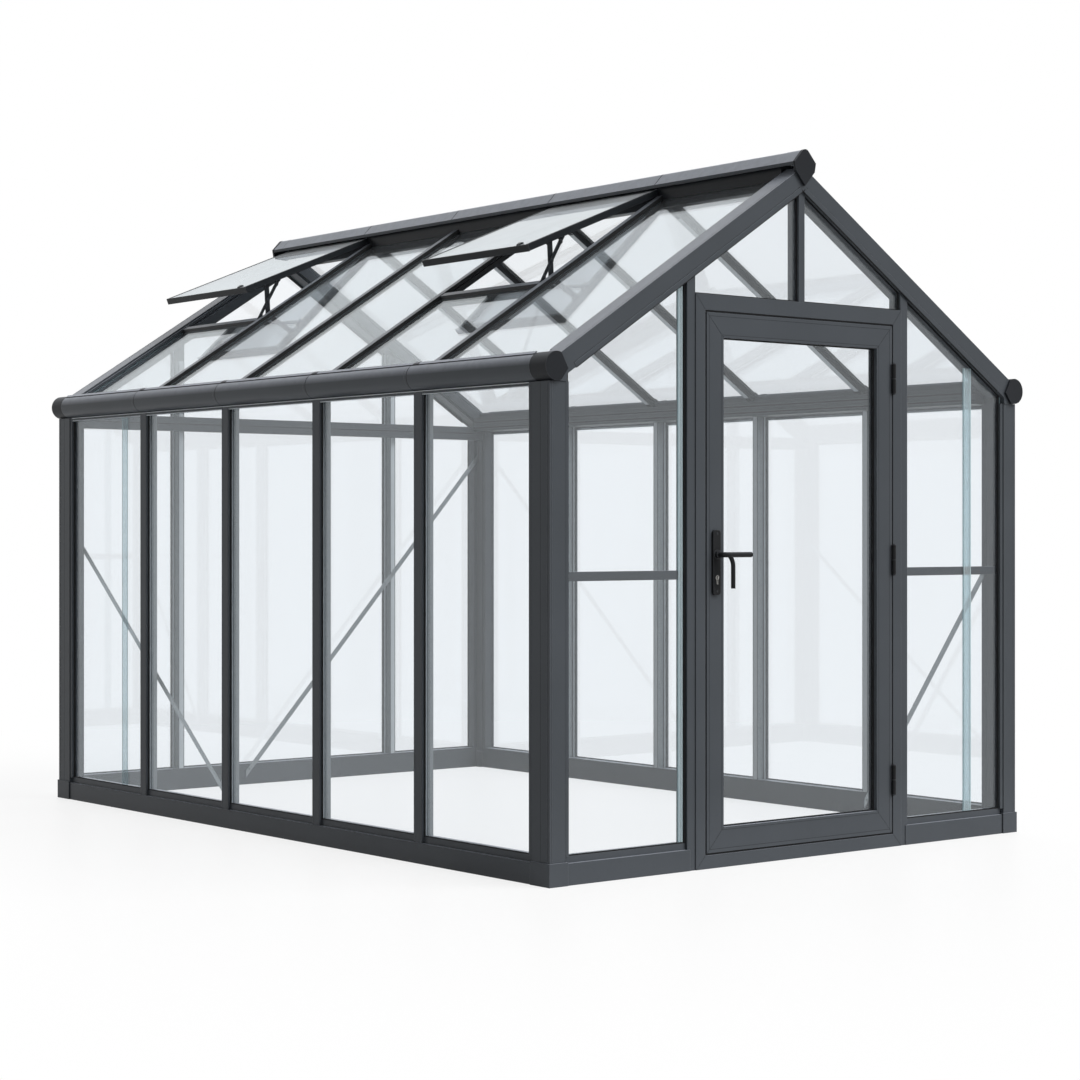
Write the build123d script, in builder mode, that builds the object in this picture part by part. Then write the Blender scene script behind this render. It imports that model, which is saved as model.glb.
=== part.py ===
"""A free-standing glass greenhouse: aluminium frame, glass walls and roof, one hinged
door in the front gable and two open vents in the left slope of the roof.

Millimetres. +X is to the right of someone who faces the door, +Y runs from the door
to the back gable and +Z is up. The origin is on the ground, in the middle of the base.
"""
from build123d import *
from math import cos, radians, sin, tan
import os

# ---------------------------------------------------------------- driving sizes
width = 2400.0             # across the base, over the corner blocks
length = 3520.0            # along the base, over the corner blocks
bays = 5                   # panes along each side wall
pitch = 32.6               # roof slope, degrees
eaves_height = 1755.0      # gutter's middle above the ground

# base
block_height = 80.0        # cast block at each corner
block_past_post_side = 1.0     # it reaches this far past the post along the side wall
block_past_post_front = 7.0    # and this far along the gable
rail_height = 75.0         # face of the base rail
rail_inset = 5.0           # the rail's face lies this far behind the block's
ledge_height = 23.0        # step on top of the rail, which carries the glass

# glazing bars and glass, measured inwards from the outside of the wall or roof
cap_inset = 8.0            # outside of a bar's cap
cap_depth = 10.0
seal_gap = 4.0             # room for the rubber seal between cap and glass
glass_thickness = 4.0
web_depth = 40.0           # box behind the glass
roof_web_depth = 22.0      # the same under the roof's glass
cap_width = 50.0
neck_width = 12.0
web_width = 30.0
roof_cap_width = 30.0      # caps of the roof's bars are narrower
edge_clearance = 3.0       # glass edge to the bar's neck

# corner posts
post_front = 70.0          # width of the post's face on the gable
post_side = 100.0          # width of its face on the side wall
lip_reach = 16.0           # the post's lips reach this far over the glass
seat_reach = 20.0          # and its seats this far behind it

# gutters and eaves
gutter_radius = 50.0
gutter_inset = 26.0        # gutter's middle inside the block's face
channel_width = 30.0
channel_depth = 20.0
lip_angle = 55.0           # where the gutter's outer lip ends, degrees above level
channel_to_middle = 20.0   # channel's outer wall from the gutter's middle
roof_over_gutter = 31.0    # top of the roof above the gutter's middle
gutter_cap_length = 90.0
gutter_cap_proud = 10.0    # it stands this far in front of the rafters
gutter_cap_corner = 20.0   # its straight edges leave the round this far inwards
gutter_cap_point_drop = 7.0    # and meet this far below the middle
rafter_heel_play = 1.5     # between the corners of a rafter's heel and the gutter cap
eaves_beam_width = 50.0
eaves_beam_bottom = 49.0   # below the gutter's middle
glass_overhang = 6.0       # roof glass reaches this far over the channel
eaves_web = 12.0           # upright web of the eaves beam, under the roof glass

# gables
rafter_depth = 75.0        # across the slope
rafter_thickness = 90.0    # along the length of the house
rafter_seat = 15.0         # seat beside the rafter for the roof glass
rafter_lip = 12.0          # lip over the roof glass
stud_at = 600.0            # back gable studs from the middle
centre_stud_width = 30.0
tie_height = 66.0
tie_depth = 40.0
mid_rail_height = 32.0
mid_rail_middle = 1044.0   # above the ground
mid_rail_depth = 30.0
mitre_gap = 1.0            # between the two rafters at the apex
eaves_beam_gap = 1.0       # between an eaves beam's end and the rafter's seat
tie_gap = 1.0              # between the tie rail and the rafters above it

# ridge
ridge_beam_width = 50.0
ridge_cap_lift = 15.0      # underside of the cap above the rafters' apex
ridge_cap_width = 104.0
ridge_cap_rise = 46.0      # top of the cap above its underside
ridge_cap_skirt = 12.0     # the cap's edges hang this far below its underside
ridge_cap_wall = 8.0
ridge_cap_crown = 32.0     # width of the cap's rounded crown, above its flat slopes
ridge_crown_rise = 8.0
end_cap_thickness = 12.0
end_cap_margin = 2.0       # end cap outside the ridge cap
end_cap_shoulder = 33.0    # end cap's shoulders below the ridge cap's underside
end_cap_shoulder_width = 96.0
end_cap_drop = 86.0        # and its lower point

# door
leaf_glass_width = 792.0
stile_width = 82.0
leaf_rail_height = 88.0
leaf_thickness = 44.0
leaf_inset = 4.0           # face of door and frame behind the block's face
door_gap = 7.0             # between leaf and frame
jamb_width = 45.0
head_height = 56.0
sill_height = 48.0
frame_below_rafters = 69.0     # its upper corners below the rafters
frame_depth = 60.0
stop_reach = 14.0          # stop behind the leaf
stop_gap = 6.0             # between leaf and stop
door_post_width = 38.0
door_post_lip = 12.0

# hinges
hinge_height = 110.0
hinge_radius = 8.0
hinge_pin_radius = 3.5
hinge_pin_play = 0.3
hinge_knuckle_gap = 1.0
hinge_plate_width = 10.0   # from the middle of the hinge
hinge_plate_thickness = 3.0
hinge_from_end = 200.0     # middle of the upper and lower hinge from the leaf's end
middle_hinge_height = 1090.0

# handle
handle_height = 1115.0     # lever above the ground
plate_width = 36.0
plate_height = 232.0
plate_above = 88.0         # top of the plate above the lever
plate_thickness = 10.0
spindle_radius = 4.5
spindle_play = 0.5
lever_radius = 9.5
lever_length = 126.0
lever_standoff = 44.0      # lever's middle from the plate
lever_bend_radius = 16.0
lever_end_round = 3.0
lever_play = 0.5           # between the lever's hub and the plate
hub_radius = 13.0          # round hub between plate and lever
hub_length = 12.0
grip_at = 36.0             # curved drop grip along the lever
grip_length = 120.0        # its foot below the lever's middle
grip_radius = 8.0
grip_bend_radius = 53.0
grip_bend_angle = 54.0     # degrees that the grip turns before it hangs straight

# roof vents
vent_bays = (2, 5)         # counted from the door
vent_open = 10.5           # degrees above the roof
vent_length = 700.0
vent_overlap = 10.0        # vent over the caps beside it
vent_lift = 2.0            # underside of the vent above the caps, at the ridge
vent_bar_width = 28.0
vent_bar_depth = 24.0
vent_edge = 5.0            # edge of the vent's frame beside the glass that lies on it
slam_bar_width = 26.0
slam_bar_inset = 10.0      # its top inside the top of the roof
slam_bar_depth = 40.0
stay_width = 22.0          # of each arm of a scissor stay
stay_thickness = 5.0
stay_spacing = 7.0         # between the middles of the two arms along the house
stay_from_bar = 4.0        # middle of the first arm from the cap beside it
stay_long_foot = 11.0      # foot of the long arm, inside the slam bar's outer edge
stay_long_reach = 104.0    # and its head from its foot, towards the ridge
stay_short_foot = 42.0     # foot of the short arm from the slam bar's inner edge
stay_short_reach = -8.0    # and its head from its foot, towards the gutter
track_depth = 14.0         # track that carries the stay, beside the bar's box
track_width = 22.0
track_length = 124.0
track_gap = 1.0            # between the track and the slam bar

# wind braces
brace_width = 22.0
brace_thickness = 3.0
left_brace_top = 1130.0    # above the ground, at the back left post
brace_foot = 50.0          # above the ground
back_brace_top = 1570.0    # at the back right post
back_brace_foot = -250.0   # across the house

# ------------------------------------------------------------------ worked out
half_width = width / 2
half_length = length / 2
block_side = rail_inset + post_side + block_past_post_side
block_front = rail_inset + post_front + block_past_post_front

cap_back = cap_inset + cap_depth
glass_front = cap_back + seal_gap
glass_back = glass_front + glass_thickness
web_back = glass_back + web_depth
roof_web_back = glass_back + roof_web_depth
rail_top = rail_height + ledge_height
past_neck = neck_width / 2 + edge_clearance

gutter_x = half_width - gutter_inset
gutter_inner = gutter_x - gutter_radius
gutter_bottom = eaves_height - gutter_radius
post_inner = half_width - rail_inset - post_front
post_back = rail_inset + post_side
first_edge = post_back + edge_clearance
pane = (length - 2 * first_edge - (bays - 1) * 2 * past_neck) / bays
first_bar = -half_length + first_edge + pane + past_neck
bar_places = [first_bar + (pane + 2 * past_neck) * count for count in range(bays - 1)]

slope = tan(radians(pitch))
apex = eaves_height + roof_over_gutter + slope * gutter_x
glass_end = gutter_x + channel_to_middle - channel_width + glass_overhang

leaf_half = leaf_glass_width / 2 + stile_width
frame_inner = leaf_half + door_gap
frame_outer = frame_inner + jamb_width
door_post_outer = frame_outer + door_post_width
post_core = door_post_outer - door_post_lip


def roof_z(across, inwards=0.0):
    """Height of the roof at a distance from the middle, and inwards from its top."""
    return apex - slope * abs(across) - inwards / cos(radians(pitch))


frame_top = roof_z(frame_outer, rafter_depth) - frame_below_rafters
leaf_bottom = sill_height + door_gap
leaf_top = frame_top - head_height - door_gap


def band(outer, inner, shallow, deep):
    """Corners of a strip of the left slope, cut upright at both ends."""
    return [
        (-outer, roof_z(outer, shallow)),
        (-inner, roof_z(inner, shallow)),
        (-inner, roof_z(inner, deep)),
        (-outer, roof_z(outer, deep)),
    ]


def gable_plane(inwards, end=-1):
    """Upright plane across the house, inwards from the front (-1) or back (1) face."""
    return Plane.XZ.offset(-end * (half_length - inwards))


def draw(points):
    """Fills an outline in the sketch in hand."""
    Polygon(*points, align=None)


def bar_section(cap):
    """Section of a glazing bar: cap outside, neck, and box behind the glass."""
    with Locations(((cap_inset + cap_back) / 2, 0)):
        Rectangle(cap_depth, cap)
    with Locations(((cap_back + glass_back) / 2, 0)):
        Rectangle(glass_back - cap_back, neck_width)
    with Locations(((glass_back + web_back) / 2, 0)):
        Rectangle(web_depth, web_width)


def rail_section():
    """Section of the base rail: local x inwards, local y up."""
    with Locations(((rail_inset + web_back) / 2, rail_height / 2)):
        Rectangle(web_back - rail_inset, rail_height)
    with Locations(((cap_back + web_back) / 2, rail_height + ledge_height / 2)):
        Rectangle(web_back - cap_back, ledge_height)


def under_rafters(low, high, foot):
    """Outline of an upright that stands at foot and reaches the rafters' underside."""
    middle = [(0, roof_z(0, rafter_depth))] if low < 0 < high else []
    top = [(high, roof_z(high, rafter_depth)), *middle, (low, roof_z(low, rafter_depth))]
    return [(low, foot), (high, foot), *top]


def gable_slab(points, inwards, depth, end=-1):
    """Fills an outline in the gable's plane, from inwards to inwards plus depth."""
    with BuildSketch(gable_plane(inwards, end)) as outline:
        draw(points)
    extrude(outline.sketch, amount=end * depth)


def clear_bay(number):
    """Where a bay of the roof begins and ends along the house, between the caps."""
    start = -half_length + rafter_thickness + rafter_lip
    stop = half_length - rafter_thickness - rafter_lip
    if number > 1:
        start = bar_places[number - 2] + roof_cap_width / 2
    if number < bays:
        stop = bar_places[number - 1] - roof_cap_width / 2
    return start, stop


# ------------------------------------------------------------------------- base
with BuildPart() as base_corner_blocks:
    with GridLocations(width - block_front, length - block_side, 2, 2):
        Box(block_front, block_side, block_height, align=(Align.CENTER, Align.CENTER, Align.MIN))
base_corner_blocks.part.label = "base_corner_blocks"

with BuildPart() as base_rail_left:
    start = -half_length + block_side
    with BuildSketch(Plane((-half_width, start, 0), x_dir=(1, 0, 0), z_dir=(0, -1, 0))):
        rail_section()
    extrude(amount=-(length - 2 * block_side))
base_rail_left.part.label = "base_rail_left"

with BuildPart() as base_rail_right:
    mirror(base_rail_left.part, about=Plane.YZ)
base_rail_right.part.label = "base_rail_right"

with BuildPart() as base_rail_back:
    start = -half_width + block_front
    with BuildSketch(Plane((start, half_length, 0), x_dir=(0, -1, 0), z_dir=(-1, 0, 0))):
        rail_section()
    extrude(amount=-(width - 2 * block_front))
base_rail_back.part.label = "base_rail_back"

with BuildPart() as base_rails_front:
    start = -half_width + block_front
    with BuildSketch(Plane((start, -half_length, 0), x_dir=(0, 1, 0), z_dir=(1, 0, 0))):
        rail_section()
    extrude(amount=half_width - block_front - post_core)
    mirror(about=Plane.YZ)
base_rails_front.part.label = "base_rails_front"

# ----------------------------------------------------------------- corner posts
with BuildPart() as corner_posts:
    with BuildSketch(Plane((-half_width, -half_length, block_height))):
        with Locations((rail_inset + post_front / 2, rail_inset + post_side / 2)):
            Rectangle(post_front, post_side)
    extrude(amount=gutter_bottom - block_height)
    with BuildSketch(Plane((-half_width, -half_length, rail_top))):
        post_edge = rail_inset + post_front
        with Locations((post_edge + lip_reach / 2, cap_inset + cap_depth / 2)):
            Rectangle(lip_reach, cap_depth)
        with Locations((post_edge + seat_reach / 2, glass_back + web_depth / 2)):
            Rectangle(seat_reach, web_depth)
        with Locations((cap_inset + cap_depth / 2, post_back + lip_reach / 2)):
            Rectangle(cap_depth, lip_reach)
        with Locations((glass_back + web_depth / 2, post_back + seat_reach / 2)):
            Rectangle(web_depth, seat_reach)
    extrude(amount=gutter_bottom - rail_top)
    mirror(about=Plane.YZ)
    mirror(about=Plane.XZ)
corner_posts.part.label = "corner_posts"

# ------------------------------------------------------------------- side walls
with BuildPart() as wall_bars_left:
    for place in bar_places:
        with BuildSketch(Plane((-half_width, place, rail_top))):
            bar_section(cap_width)
        extrude(amount=gutter_bottom - rail_top)
        with BuildSketch(Plane((-half_width, place, rail_height))):
            with Locations((cap_inset + cap_depth / 2, 0)):
                Rectangle(cap_depth, cap_width)
        extrude(amount=ledge_height)
wall_bars_left.part.label = "wall_bars_left"

with BuildPart() as wall_bars_right:
    mirror(wall_bars_left.part, about=Plane.YZ)
wall_bars_right.part.label = "wall_bars_right"

with BuildPart() as glass_left_wall:
    for number in range(bays):
        start = -half_length + first_edge + number * (pane + 2 * past_neck)
        with Locations((-half_width + glass_front, start, rail_top)):
            Box(
                glass_thickness,
                pane,
                gutter_bottom - rail_top,
                align=(Align.MIN, Align.MIN, Align.MIN),
            )
glass_left_wall.part.label = "glass_left_wall"

with BuildPart() as glass_right_wall:
    mirror(glass_left_wall.part, about=Plane.YZ)
glass_right_wall.part.label = "glass_right_wall"

# ---------------------------------------------------------------------- gutters
with BuildPart() as gutter_left:
    run = length - 2 * (gutter_cap_length - gutter_cap_proud)
    lip_x = gutter_radius * cos(radians(lip_angle))
    lip_z = gutter_radius * sin(radians(lip_angle))
    with BuildSketch(Plane((-gutter_x, 0, eaves_height), x_dir=(-1, 0, 0), z_dir=(0, 1, 0))):
        with BuildLine():
            Line((-gutter_radius, 0), (-gutter_radius, -gutter_radius))
            Line((-gutter_radius, -gutter_radius), (0, -gutter_radius))
            CenterArc((0, 0), gutter_radius, -90, 90 + lip_angle)
            Polyline(
                (lip_x, lip_z),
                (channel_to_middle, lip_z),
                (channel_to_middle, -channel_depth),
                (channel_to_middle - channel_width, -channel_depth),
                (channel_to_middle - channel_width, 0),
                (-gutter_radius, 0),
            )
        make_face()
    extrude(amount=run / 2, both=True)
gutter_left.part.label = "gutter_left"

with BuildPart() as gutter_right:
    mirror(gutter_left.part, about=Plane.YZ)
gutter_right.part.label = "gutter_right"

with BuildPart() as gutter_end_caps:
    cap_start = -half_length - gutter_cap_proud
    leaving = (gutter_radius**2 - gutter_cap_corner**2) ** 0.5
    with BuildSketch(Plane((-gutter_x, cap_start, eaves_height), x_dir=(-1, 0, 0), z_dir=(0, 1, 0))):
        with BuildLine():
            ThreePointArc((-gutter_cap_corner, -leaving), (gutter_radius, 0), (-gutter_cap_corner, leaving))
            Polyline(
                (-gutter_cap_corner, leaving),
                (-gutter_radius, -gutter_cap_point_drop),
                (-gutter_cap_corner, -leaving),
            )
        make_face()
    extrude(amount=gutter_cap_length)
    mirror(about=Plane.YZ)
    mirror(about=Plane.XZ)
gutter_end_caps.part.label = "gutter_end_caps"

with BuildPart() as eaves_beams:
    inner = gutter_inner - eaves_beam_width
    web = gutter_inner - eaves_web
    bottom = eaves_height - eaves_beam_bottom
    end = rafter_thickness + rafter_seat + eaves_beam_gap
    with BuildSketch(gable_plane(end)):
        draw(
            [
                (-gutter_inner, bottom),
                (-inner, bottom),
                (-inner, roof_z(inner, web_back)),
                (-web, roof_z(web, web_back)),
                (-web, roof_z(web, glass_back)),
                (-gutter_inner, roof_z(gutter_inner, glass_back)),
            ]
        )
    extrude(amount=-(length - 2 * end))
    mirror(about=Plane.YZ)
eaves_beams.part.label = "eaves_beams"

# ------------------------------------------------------------------------ roof
ridge_side = ridge_beam_width / 2
with BuildPart() as roof_bars_left:
    layers = (
        (roof_cap_width, glass_end, cap_inset, cap_back),
        (neck_width, glass_end, cap_back, glass_back),
        (web_width, gutter_inner - eaves_web, glass_back, roof_web_back),
    )
    for place in bar_places:
        for wide, outer, shallow, deep in layers:
            with BuildSketch(Plane.XZ.offset(-place)):
                draw(band(outer, ridge_side, shallow, deep))
            extrude(amount=wide / 2, both=True)
roof_bars_left.part.label = "roof_bars_left"

with BuildPart() as roof_bars_right:
    mirror(roof_bars_left.part, about=Plane.YZ)
roof_bars_right.part.label = "roof_bars_right"

with BuildPart() as rafters_front:
    gable_slab(band(gutter_inner, mitre_gap / 2, 0, rafter_depth), 0, rafter_thickness)
    seat = band(gutter_inner, ridge_side, glass_back, web_back)
    gable_slab(seat, rafter_thickness, rafter_seat)
    lip = band(glass_end, ridge_side, cap_inset, cap_back)
    gable_slab(lip, rafter_thickness, rafter_lip)
    point = (-gutter_inner, eaves_height - gutter_cap_point_drop)
    edge_x = -gutter_x + gutter_cap_corner + rafter_heel_play
    edge_up = (gutter_radius**2 - gutter_cap_corner**2) ** 0.5
    lower_heel = [(edge_x, gutter_bottom), (-gutter_inner, gutter_bottom), point]
    lower_heel.append((edge_x, eaves_height - edge_up - rafter_heel_play))
    gable_slab(lower_heel, 0, gutter_cap_length - gutter_cap_proud)
    upper_heel = [point, (-gutter_inner, roof_z(gutter_inner)), (edge_x, roof_z(edge_x))]
    gable_slab(upper_heel, 0, gutter_cap_length - gutter_cap_proud)
    mirror(about=Plane.YZ)
rafters_front.part.label = "rafters_front"

with BuildPart() as rafters_back:
    mirror(rafters_front.part, about=Plane.XZ)
rafters_back.part.label = "rafters_back"

ridge_underside = apex + ridge_cap_lift


def crown(side, crown_half, top):
    """Upper edge of the ridge cap: flat slopes from its sides up to a rounded crown."""
    shoulder = top - ridge_crown_rise
    Line((-side, ridge_underside), (-crown_half, shoulder))
    ThreePointArc((-crown_half, shoulder), (0, top), (crown_half, shoulder))
    Line((crown_half, shoulder), (side, ridge_underside))


with BuildPart() as ridge_beam:
    bottom = roof_z(ridge_side, roof_web_back)
    with Locations((0, 0, bottom)):
        Box(
            ridge_beam_width,
            length - 2 * rafter_thickness,
            ridge_underside - bottom,
            align=(Align.CENTER, Align.CENTER, Align.MIN),
        )
ridge_beam.part.label = "ridge_beam"

with BuildPart() as ridge_cap:
    side = ridge_cap_width / 2
    with BuildSketch(Plane.XZ):
        with BuildLine():
            crown(side, ridge_cap_crown / 2, ridge_underside + ridge_cap_rise)
            Polyline(
                (side, ridge_underside),
                (side, ridge_underside - ridge_cap_skirt),
                (side - ridge_cap_wall, ridge_underside - ridge_cap_skirt),
                (side - ridge_cap_wall, ridge_underside),
                (-side + ridge_cap_wall, ridge_underside),
                (-side + ridge_cap_wall, ridge_underside - ridge_cap_skirt),
                (-side, ridge_underside - ridge_cap_skirt),
                (-side, ridge_underside),
            )
        make_face()
    extrude(amount=half_length, both=True)
ridge_cap.part.label = "ridge_cap"

with BuildPart() as ridge_end_caps:
    side = ridge_cap_width / 2 + end_cap_margin
    shoulder = end_cap_shoulder_width / 2
    with BuildSketch(gable_plane(0)):
        with BuildLine():
            top = ridge_underside + ridge_cap_rise + end_cap_margin
            crown(side, ridge_cap_crown / 2 + end_cap_margin / 2, top)
            Polyline(
                (side, ridge_underside),
                (shoulder, ridge_underside - end_cap_shoulder),
                (0, ridge_underside - end_cap_drop),
                (-shoulder, ridge_underside - end_cap_shoulder),
                (-side, ridge_underside),
            )
        make_face()
    extrude(amount=end_cap_thickness)
    mirror(about=Plane.XZ)
ridge_end_caps.part.label = "ridge_end_caps"

slam_outer = ridge_side + vent_length * cos(radians(pitch))
slam_inner = slam_outer - slam_bar_width * cos(radians(pitch))


def roof_pane(number, inner):
    """One pane of the left slope, from the gutter up to a distance from the middle."""
    start, stop = clear_bay(number)
    under_cap = roof_cap_width / 2 - past_neck
    start = start - (rafter_lip - edge_clearance if number == 1 else under_cap)
    stop = stop + (rafter_lip - edge_clearance if number == bays else under_cap)
    with BuildSketch(Plane.XZ.offset(-start)) as outline:
        draw(band(glass_end, inner, glass_front, glass_back))
    extrude(outline.sketch, amount=-(stop - start))


with BuildPart() as glass_roof_left:
    for number in range(1, bays + 1):
        roof_pane(number, slam_outer if number in vent_bays else ridge_side)
glass_roof_left.part.label = "glass_roof_left"

with BuildPart() as glass_roof_right:
    for number in range(1, bays + 1):
        roof_pane(number, ridge_side)
    mirror(about=Plane.YZ, mode=Mode.REPLACE)
glass_roof_right.part.label = "glass_roof_right"

# ----------------------------------------------------------------------- vents
vent_slope = radians(pitch - vent_open)


def vent_point(along, up):
    """A point of the open vent: down the slope from the ridge beam, and up from the caps."""
    across = ridge_side + along * cos(vent_slope) + up * sin(vent_slope)
    height = roof_z(ridge_side, cap_inset) - along * sin(vent_slope) + up * cos(vent_slope)
    return -across, height


def vent_strip(near, far, low, high):
    """Corners of a strip of the vent. Where near is 0 it is cut upright at the ridge beam."""
    at_low = near if near else -low * tan(vent_slope)
    at_high = near if near else -high * tan(vent_slope)
    return [
        vent_point(at_low, low),
        vent_point(far, low),
        vent_point(far, high),
        vent_point(at_high, high),
    ]


def across_vent(points, start, stop):
    """Fills an outline from start to stop along the house."""
    with BuildSketch(Plane.XZ.offset(-start)) as outline:
        draw(points)
    extrude(outline.sketch, amount=-(stop - start))


vent_top = vent_lift + vent_bar_depth
vent_seat = vent_top - glass_thickness


def vent_sides(number):
    """Where a vent begins and ends along the house, over the caps beside it."""
    start, stop = clear_bay(number)
    return start - vent_overlap, stop + vent_overlap


with BuildPart() as vent_stiles:
    for number in vent_bays:
        start, stop = vent_sides(number)
        strip = vent_strip(0, vent_length, vent_lift, vent_seat)
        across_vent(strip, start, start + vent_bar_width)
        across_vent(strip, stop - vent_bar_width, stop)
        edge = vent_strip(0, vent_length, vent_seat, vent_top)
        across_vent(edge, start, start + vent_edge)
        across_vent(edge, stop - vent_edge, stop)
vent_stiles.part.label = "vent_stiles"

with BuildPart() as vent_rails:
    for number in vent_bays:
        start, stop = vent_sides(number)
        top_rail = vent_strip(0, vent_bar_width, vent_lift, vent_seat)
        across_vent(top_rail, start + vent_bar_width, stop - vent_bar_width)
        low_rail = vent_strip(vent_length - vent_bar_width, vent_length, vent_lift, vent_seat)
        across_vent(low_rail, start + vent_bar_width, stop - vent_bar_width)
        edge = vent_strip(vent_length - vent_edge, vent_length, vent_seat, vent_top)
        across_vent(edge, start + vent_edge, stop - vent_edge)
vent_rails.part.label = "vent_rails"

with BuildPart() as vent_glass:
    for number in vent_bays:
        start, stop = vent_sides(number)
        strip = vent_strip(0, vent_length - vent_edge, vent_seat, vent_top)
        across_vent(strip, start + vent_edge, stop - vent_edge)
vent_glass.part.label = "vent_glass"

with BuildPart() as vent_slam_bars:
    for number in vent_bays:
        start, stop = clear_bay(number)
        if number == bays:
            stop = half_length - rafter_thickness - rafter_seat
        strip = band(slam_outer, slam_inner, slam_bar_inset, slam_bar_inset + slam_bar_depth)
        across_vent(strip, start, stop)
vent_slam_bars.part.label = "vent_slam_bars"

with BuildPart() as vent_stay_tracks:
    track_outer = slam_inner - track_gap
    track_inner = track_outer - track_length * cos(radians(pitch))
    for number in vent_bays:
        track_side = clear_bay(number)[0] - (roof_cap_width - web_width) / 2
        strip = band(track_outer, track_inner, glass_back, glass_back + track_depth)
        across_vent(strip, track_side, track_side + track_width)
vent_stay_tracks.part.label = "vent_stay_tracks"


def stay_arm(foot, inwards, reach):
    """Outline of one arm of a stay, from foot, that far in the roof, up to the vent."""
    half = stay_width / 2
    feet = [(-across, roof_z(across, inwards)) for across in (foot + half, foot - half)]
    heads = [foot - reach - half, foot - reach + half]
    along = [(across - ridge_side) / cos(vent_slope) for across in heads]
    shift = vent_lift * tan(vent_slope)
    return feet + [vent_point(distance - shift, vent_lift) for distance in along]


with BuildPart() as vent_stays:
    for number in vent_bays:
        first = clear_bay(number)[0] + stay_from_bar
        long_arm = stay_arm(slam_outer - stay_long_foot, slam_bar_inset, stay_long_reach)
        across_vent(long_arm, first - stay_thickness / 2, first + stay_thickness / 2)
        second = first + stay_spacing
        short_arm = stay_arm(slam_inner - stay_short_foot, glass_back, stay_short_reach)
        across_vent(short_arm, second - stay_thickness / 2, second + stay_thickness / 2)
vent_stays.part.label = "vent_stays"

# ------------------------------------------------------------------ back gable
with BuildPart() as back_gable_studs:
    half = cap_width / 2
    for low, high, inwards, depth, foot in (
        (stud_at - half, stud_at + half, cap_inset, cap_depth, rail_height),
        (stud_at - neck_width / 2, stud_at + neck_width / 2, cap_back, glass_back - cap_back, rail_top),
        (stud_at - web_width / 2, stud_at + web_width / 2, glass_back, web_depth, rail_top),
    ):
        gable_slab(under_rafters(low, high, foot), inwards, depth, 1)
    mirror(about=Plane.YZ)
back_gable_studs.part.label = "back_gable_studs"

tie_top = roof_z(gutter_inner, rafter_depth) - tie_gap
with BuildPart() as back_tie_rail:
    with Locations((0, half_length - web_back, tie_top)):
        Box(
            2 * gutter_inner,
            tie_depth,
            tie_height,
            align=(Align.CENTER, Align.MAX, Align.MAX),
        )
back_tie_rail.part.label = "back_tie_rail"

with BuildPart() as glass_back_gable:
    outer = post_inner - edge_clearance
    for low, high in (
        (-outer, -stud_at - past_neck),
        (-stud_at + past_neck, stud_at - past_neck),
        (stud_at + past_neck, outer),
    ):
        gable_slab(under_rafters(low, high, rail_top), glass_front, glass_thickness, 1)
glass_back_gable.part.label = "glass_back_gable"

# ----------------------------------------------------------------- front gable
with BuildPart() as door_posts:
    gable_slab(under_rafters(frame_outer, post_core, 0), cap_inset, web_back - cap_inset)
    gable_slab(under_rafters(post_core, door_post_outer, rail_height), cap_inset, cap_depth)
    gable_slab(under_rafters(post_core, door_post_outer, rail_top), glass_back, web_depth)
    mirror(about=Plane.YZ)
door_posts.part.label = "door_posts"

with BuildPart() as gable_centre_stud:
    for wide, inwards, depth in (
        (centre_stud_width, cap_inset, cap_depth),
        (neck_width, cap_back, glass_back - cap_back),
        (web_width, glass_back, web_depth),
    ):
        gable_slab(under_rafters(-wide / 2, wide / 2, frame_top), inwards, depth)
gable_centre_stud.part.label = "gable_centre_stud"

with BuildPart() as glass_front_sides:
    low = post_core + edge_clearance
    high = post_inner - edge_clearance
    gable_slab(under_rafters(low, high, rail_top), glass_front, glass_thickness)
    mirror(about=Plane.YZ)
glass_front_sides.part.label = "glass_front_sides"

with BuildPart() as glass_over_door:
    low = neck_width / 2 + edge_clearance
    gable_slab(under_rafters(low, frame_outer, frame_top), glass_front, glass_thickness)
    mirror(about=Plane.YZ)
glass_over_door.part.label = "glass_over_door"

with BuildPart() as front_mid_rails:
    low = door_post_outer
    high = post_inner - seat_reach
    middle = ((low + high) / 2, -half_length + glass_back, mid_rail_middle)
    with Locations(middle):
        Box(high - low, mid_rail_depth, mid_rail_height, align=(Align.CENTER, Align.MIN, Align.CENTER))
    mirror(about=Plane.YZ)
front_mid_rails.part.label = "front_mid_rails"

# ------------------------------------------------------------------ wind braces
def brace_outline(start, stop):
    """Outline of a flat bar between two points, cut upright at both ends."""
    run = stop[0] - start[0]
    rise = stop[1] - start[1]
    half = brace_width / 2 * (run**2 + rise**2) ** 0.5 / abs(run)
    return [
        (start[0], start[1] - half),
        (stop[0], stop[1] - half),
        (stop[0], stop[1] + half),
        (start[0], start[1] + half),
    ]


with BuildPart() as wind_braces:
    wall_inside = half_width - web_back
    post_face = half_length - post_back
    with BuildSketch(Plane.YZ.offset(-wall_inside)):
        draw(brace_outline((post_face, left_brace_top), (bar_places[-2], brace_foot)))
    extrude(amount=brace_thickness)
    with BuildSketch(Plane.YZ.offset(wall_inside)):
        draw(brace_outline((-post_face, mid_rail_middle), (bar_places[0], brace_foot)))
    extrude(amount=-brace_thickness)
    across = brace_outline((post_inner, back_brace_top), (back_brace_foot, brace_foot))
    gable_slab(across, web_back, brace_thickness, 1)
wind_braces.part.label = "wind_braces"

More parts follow.
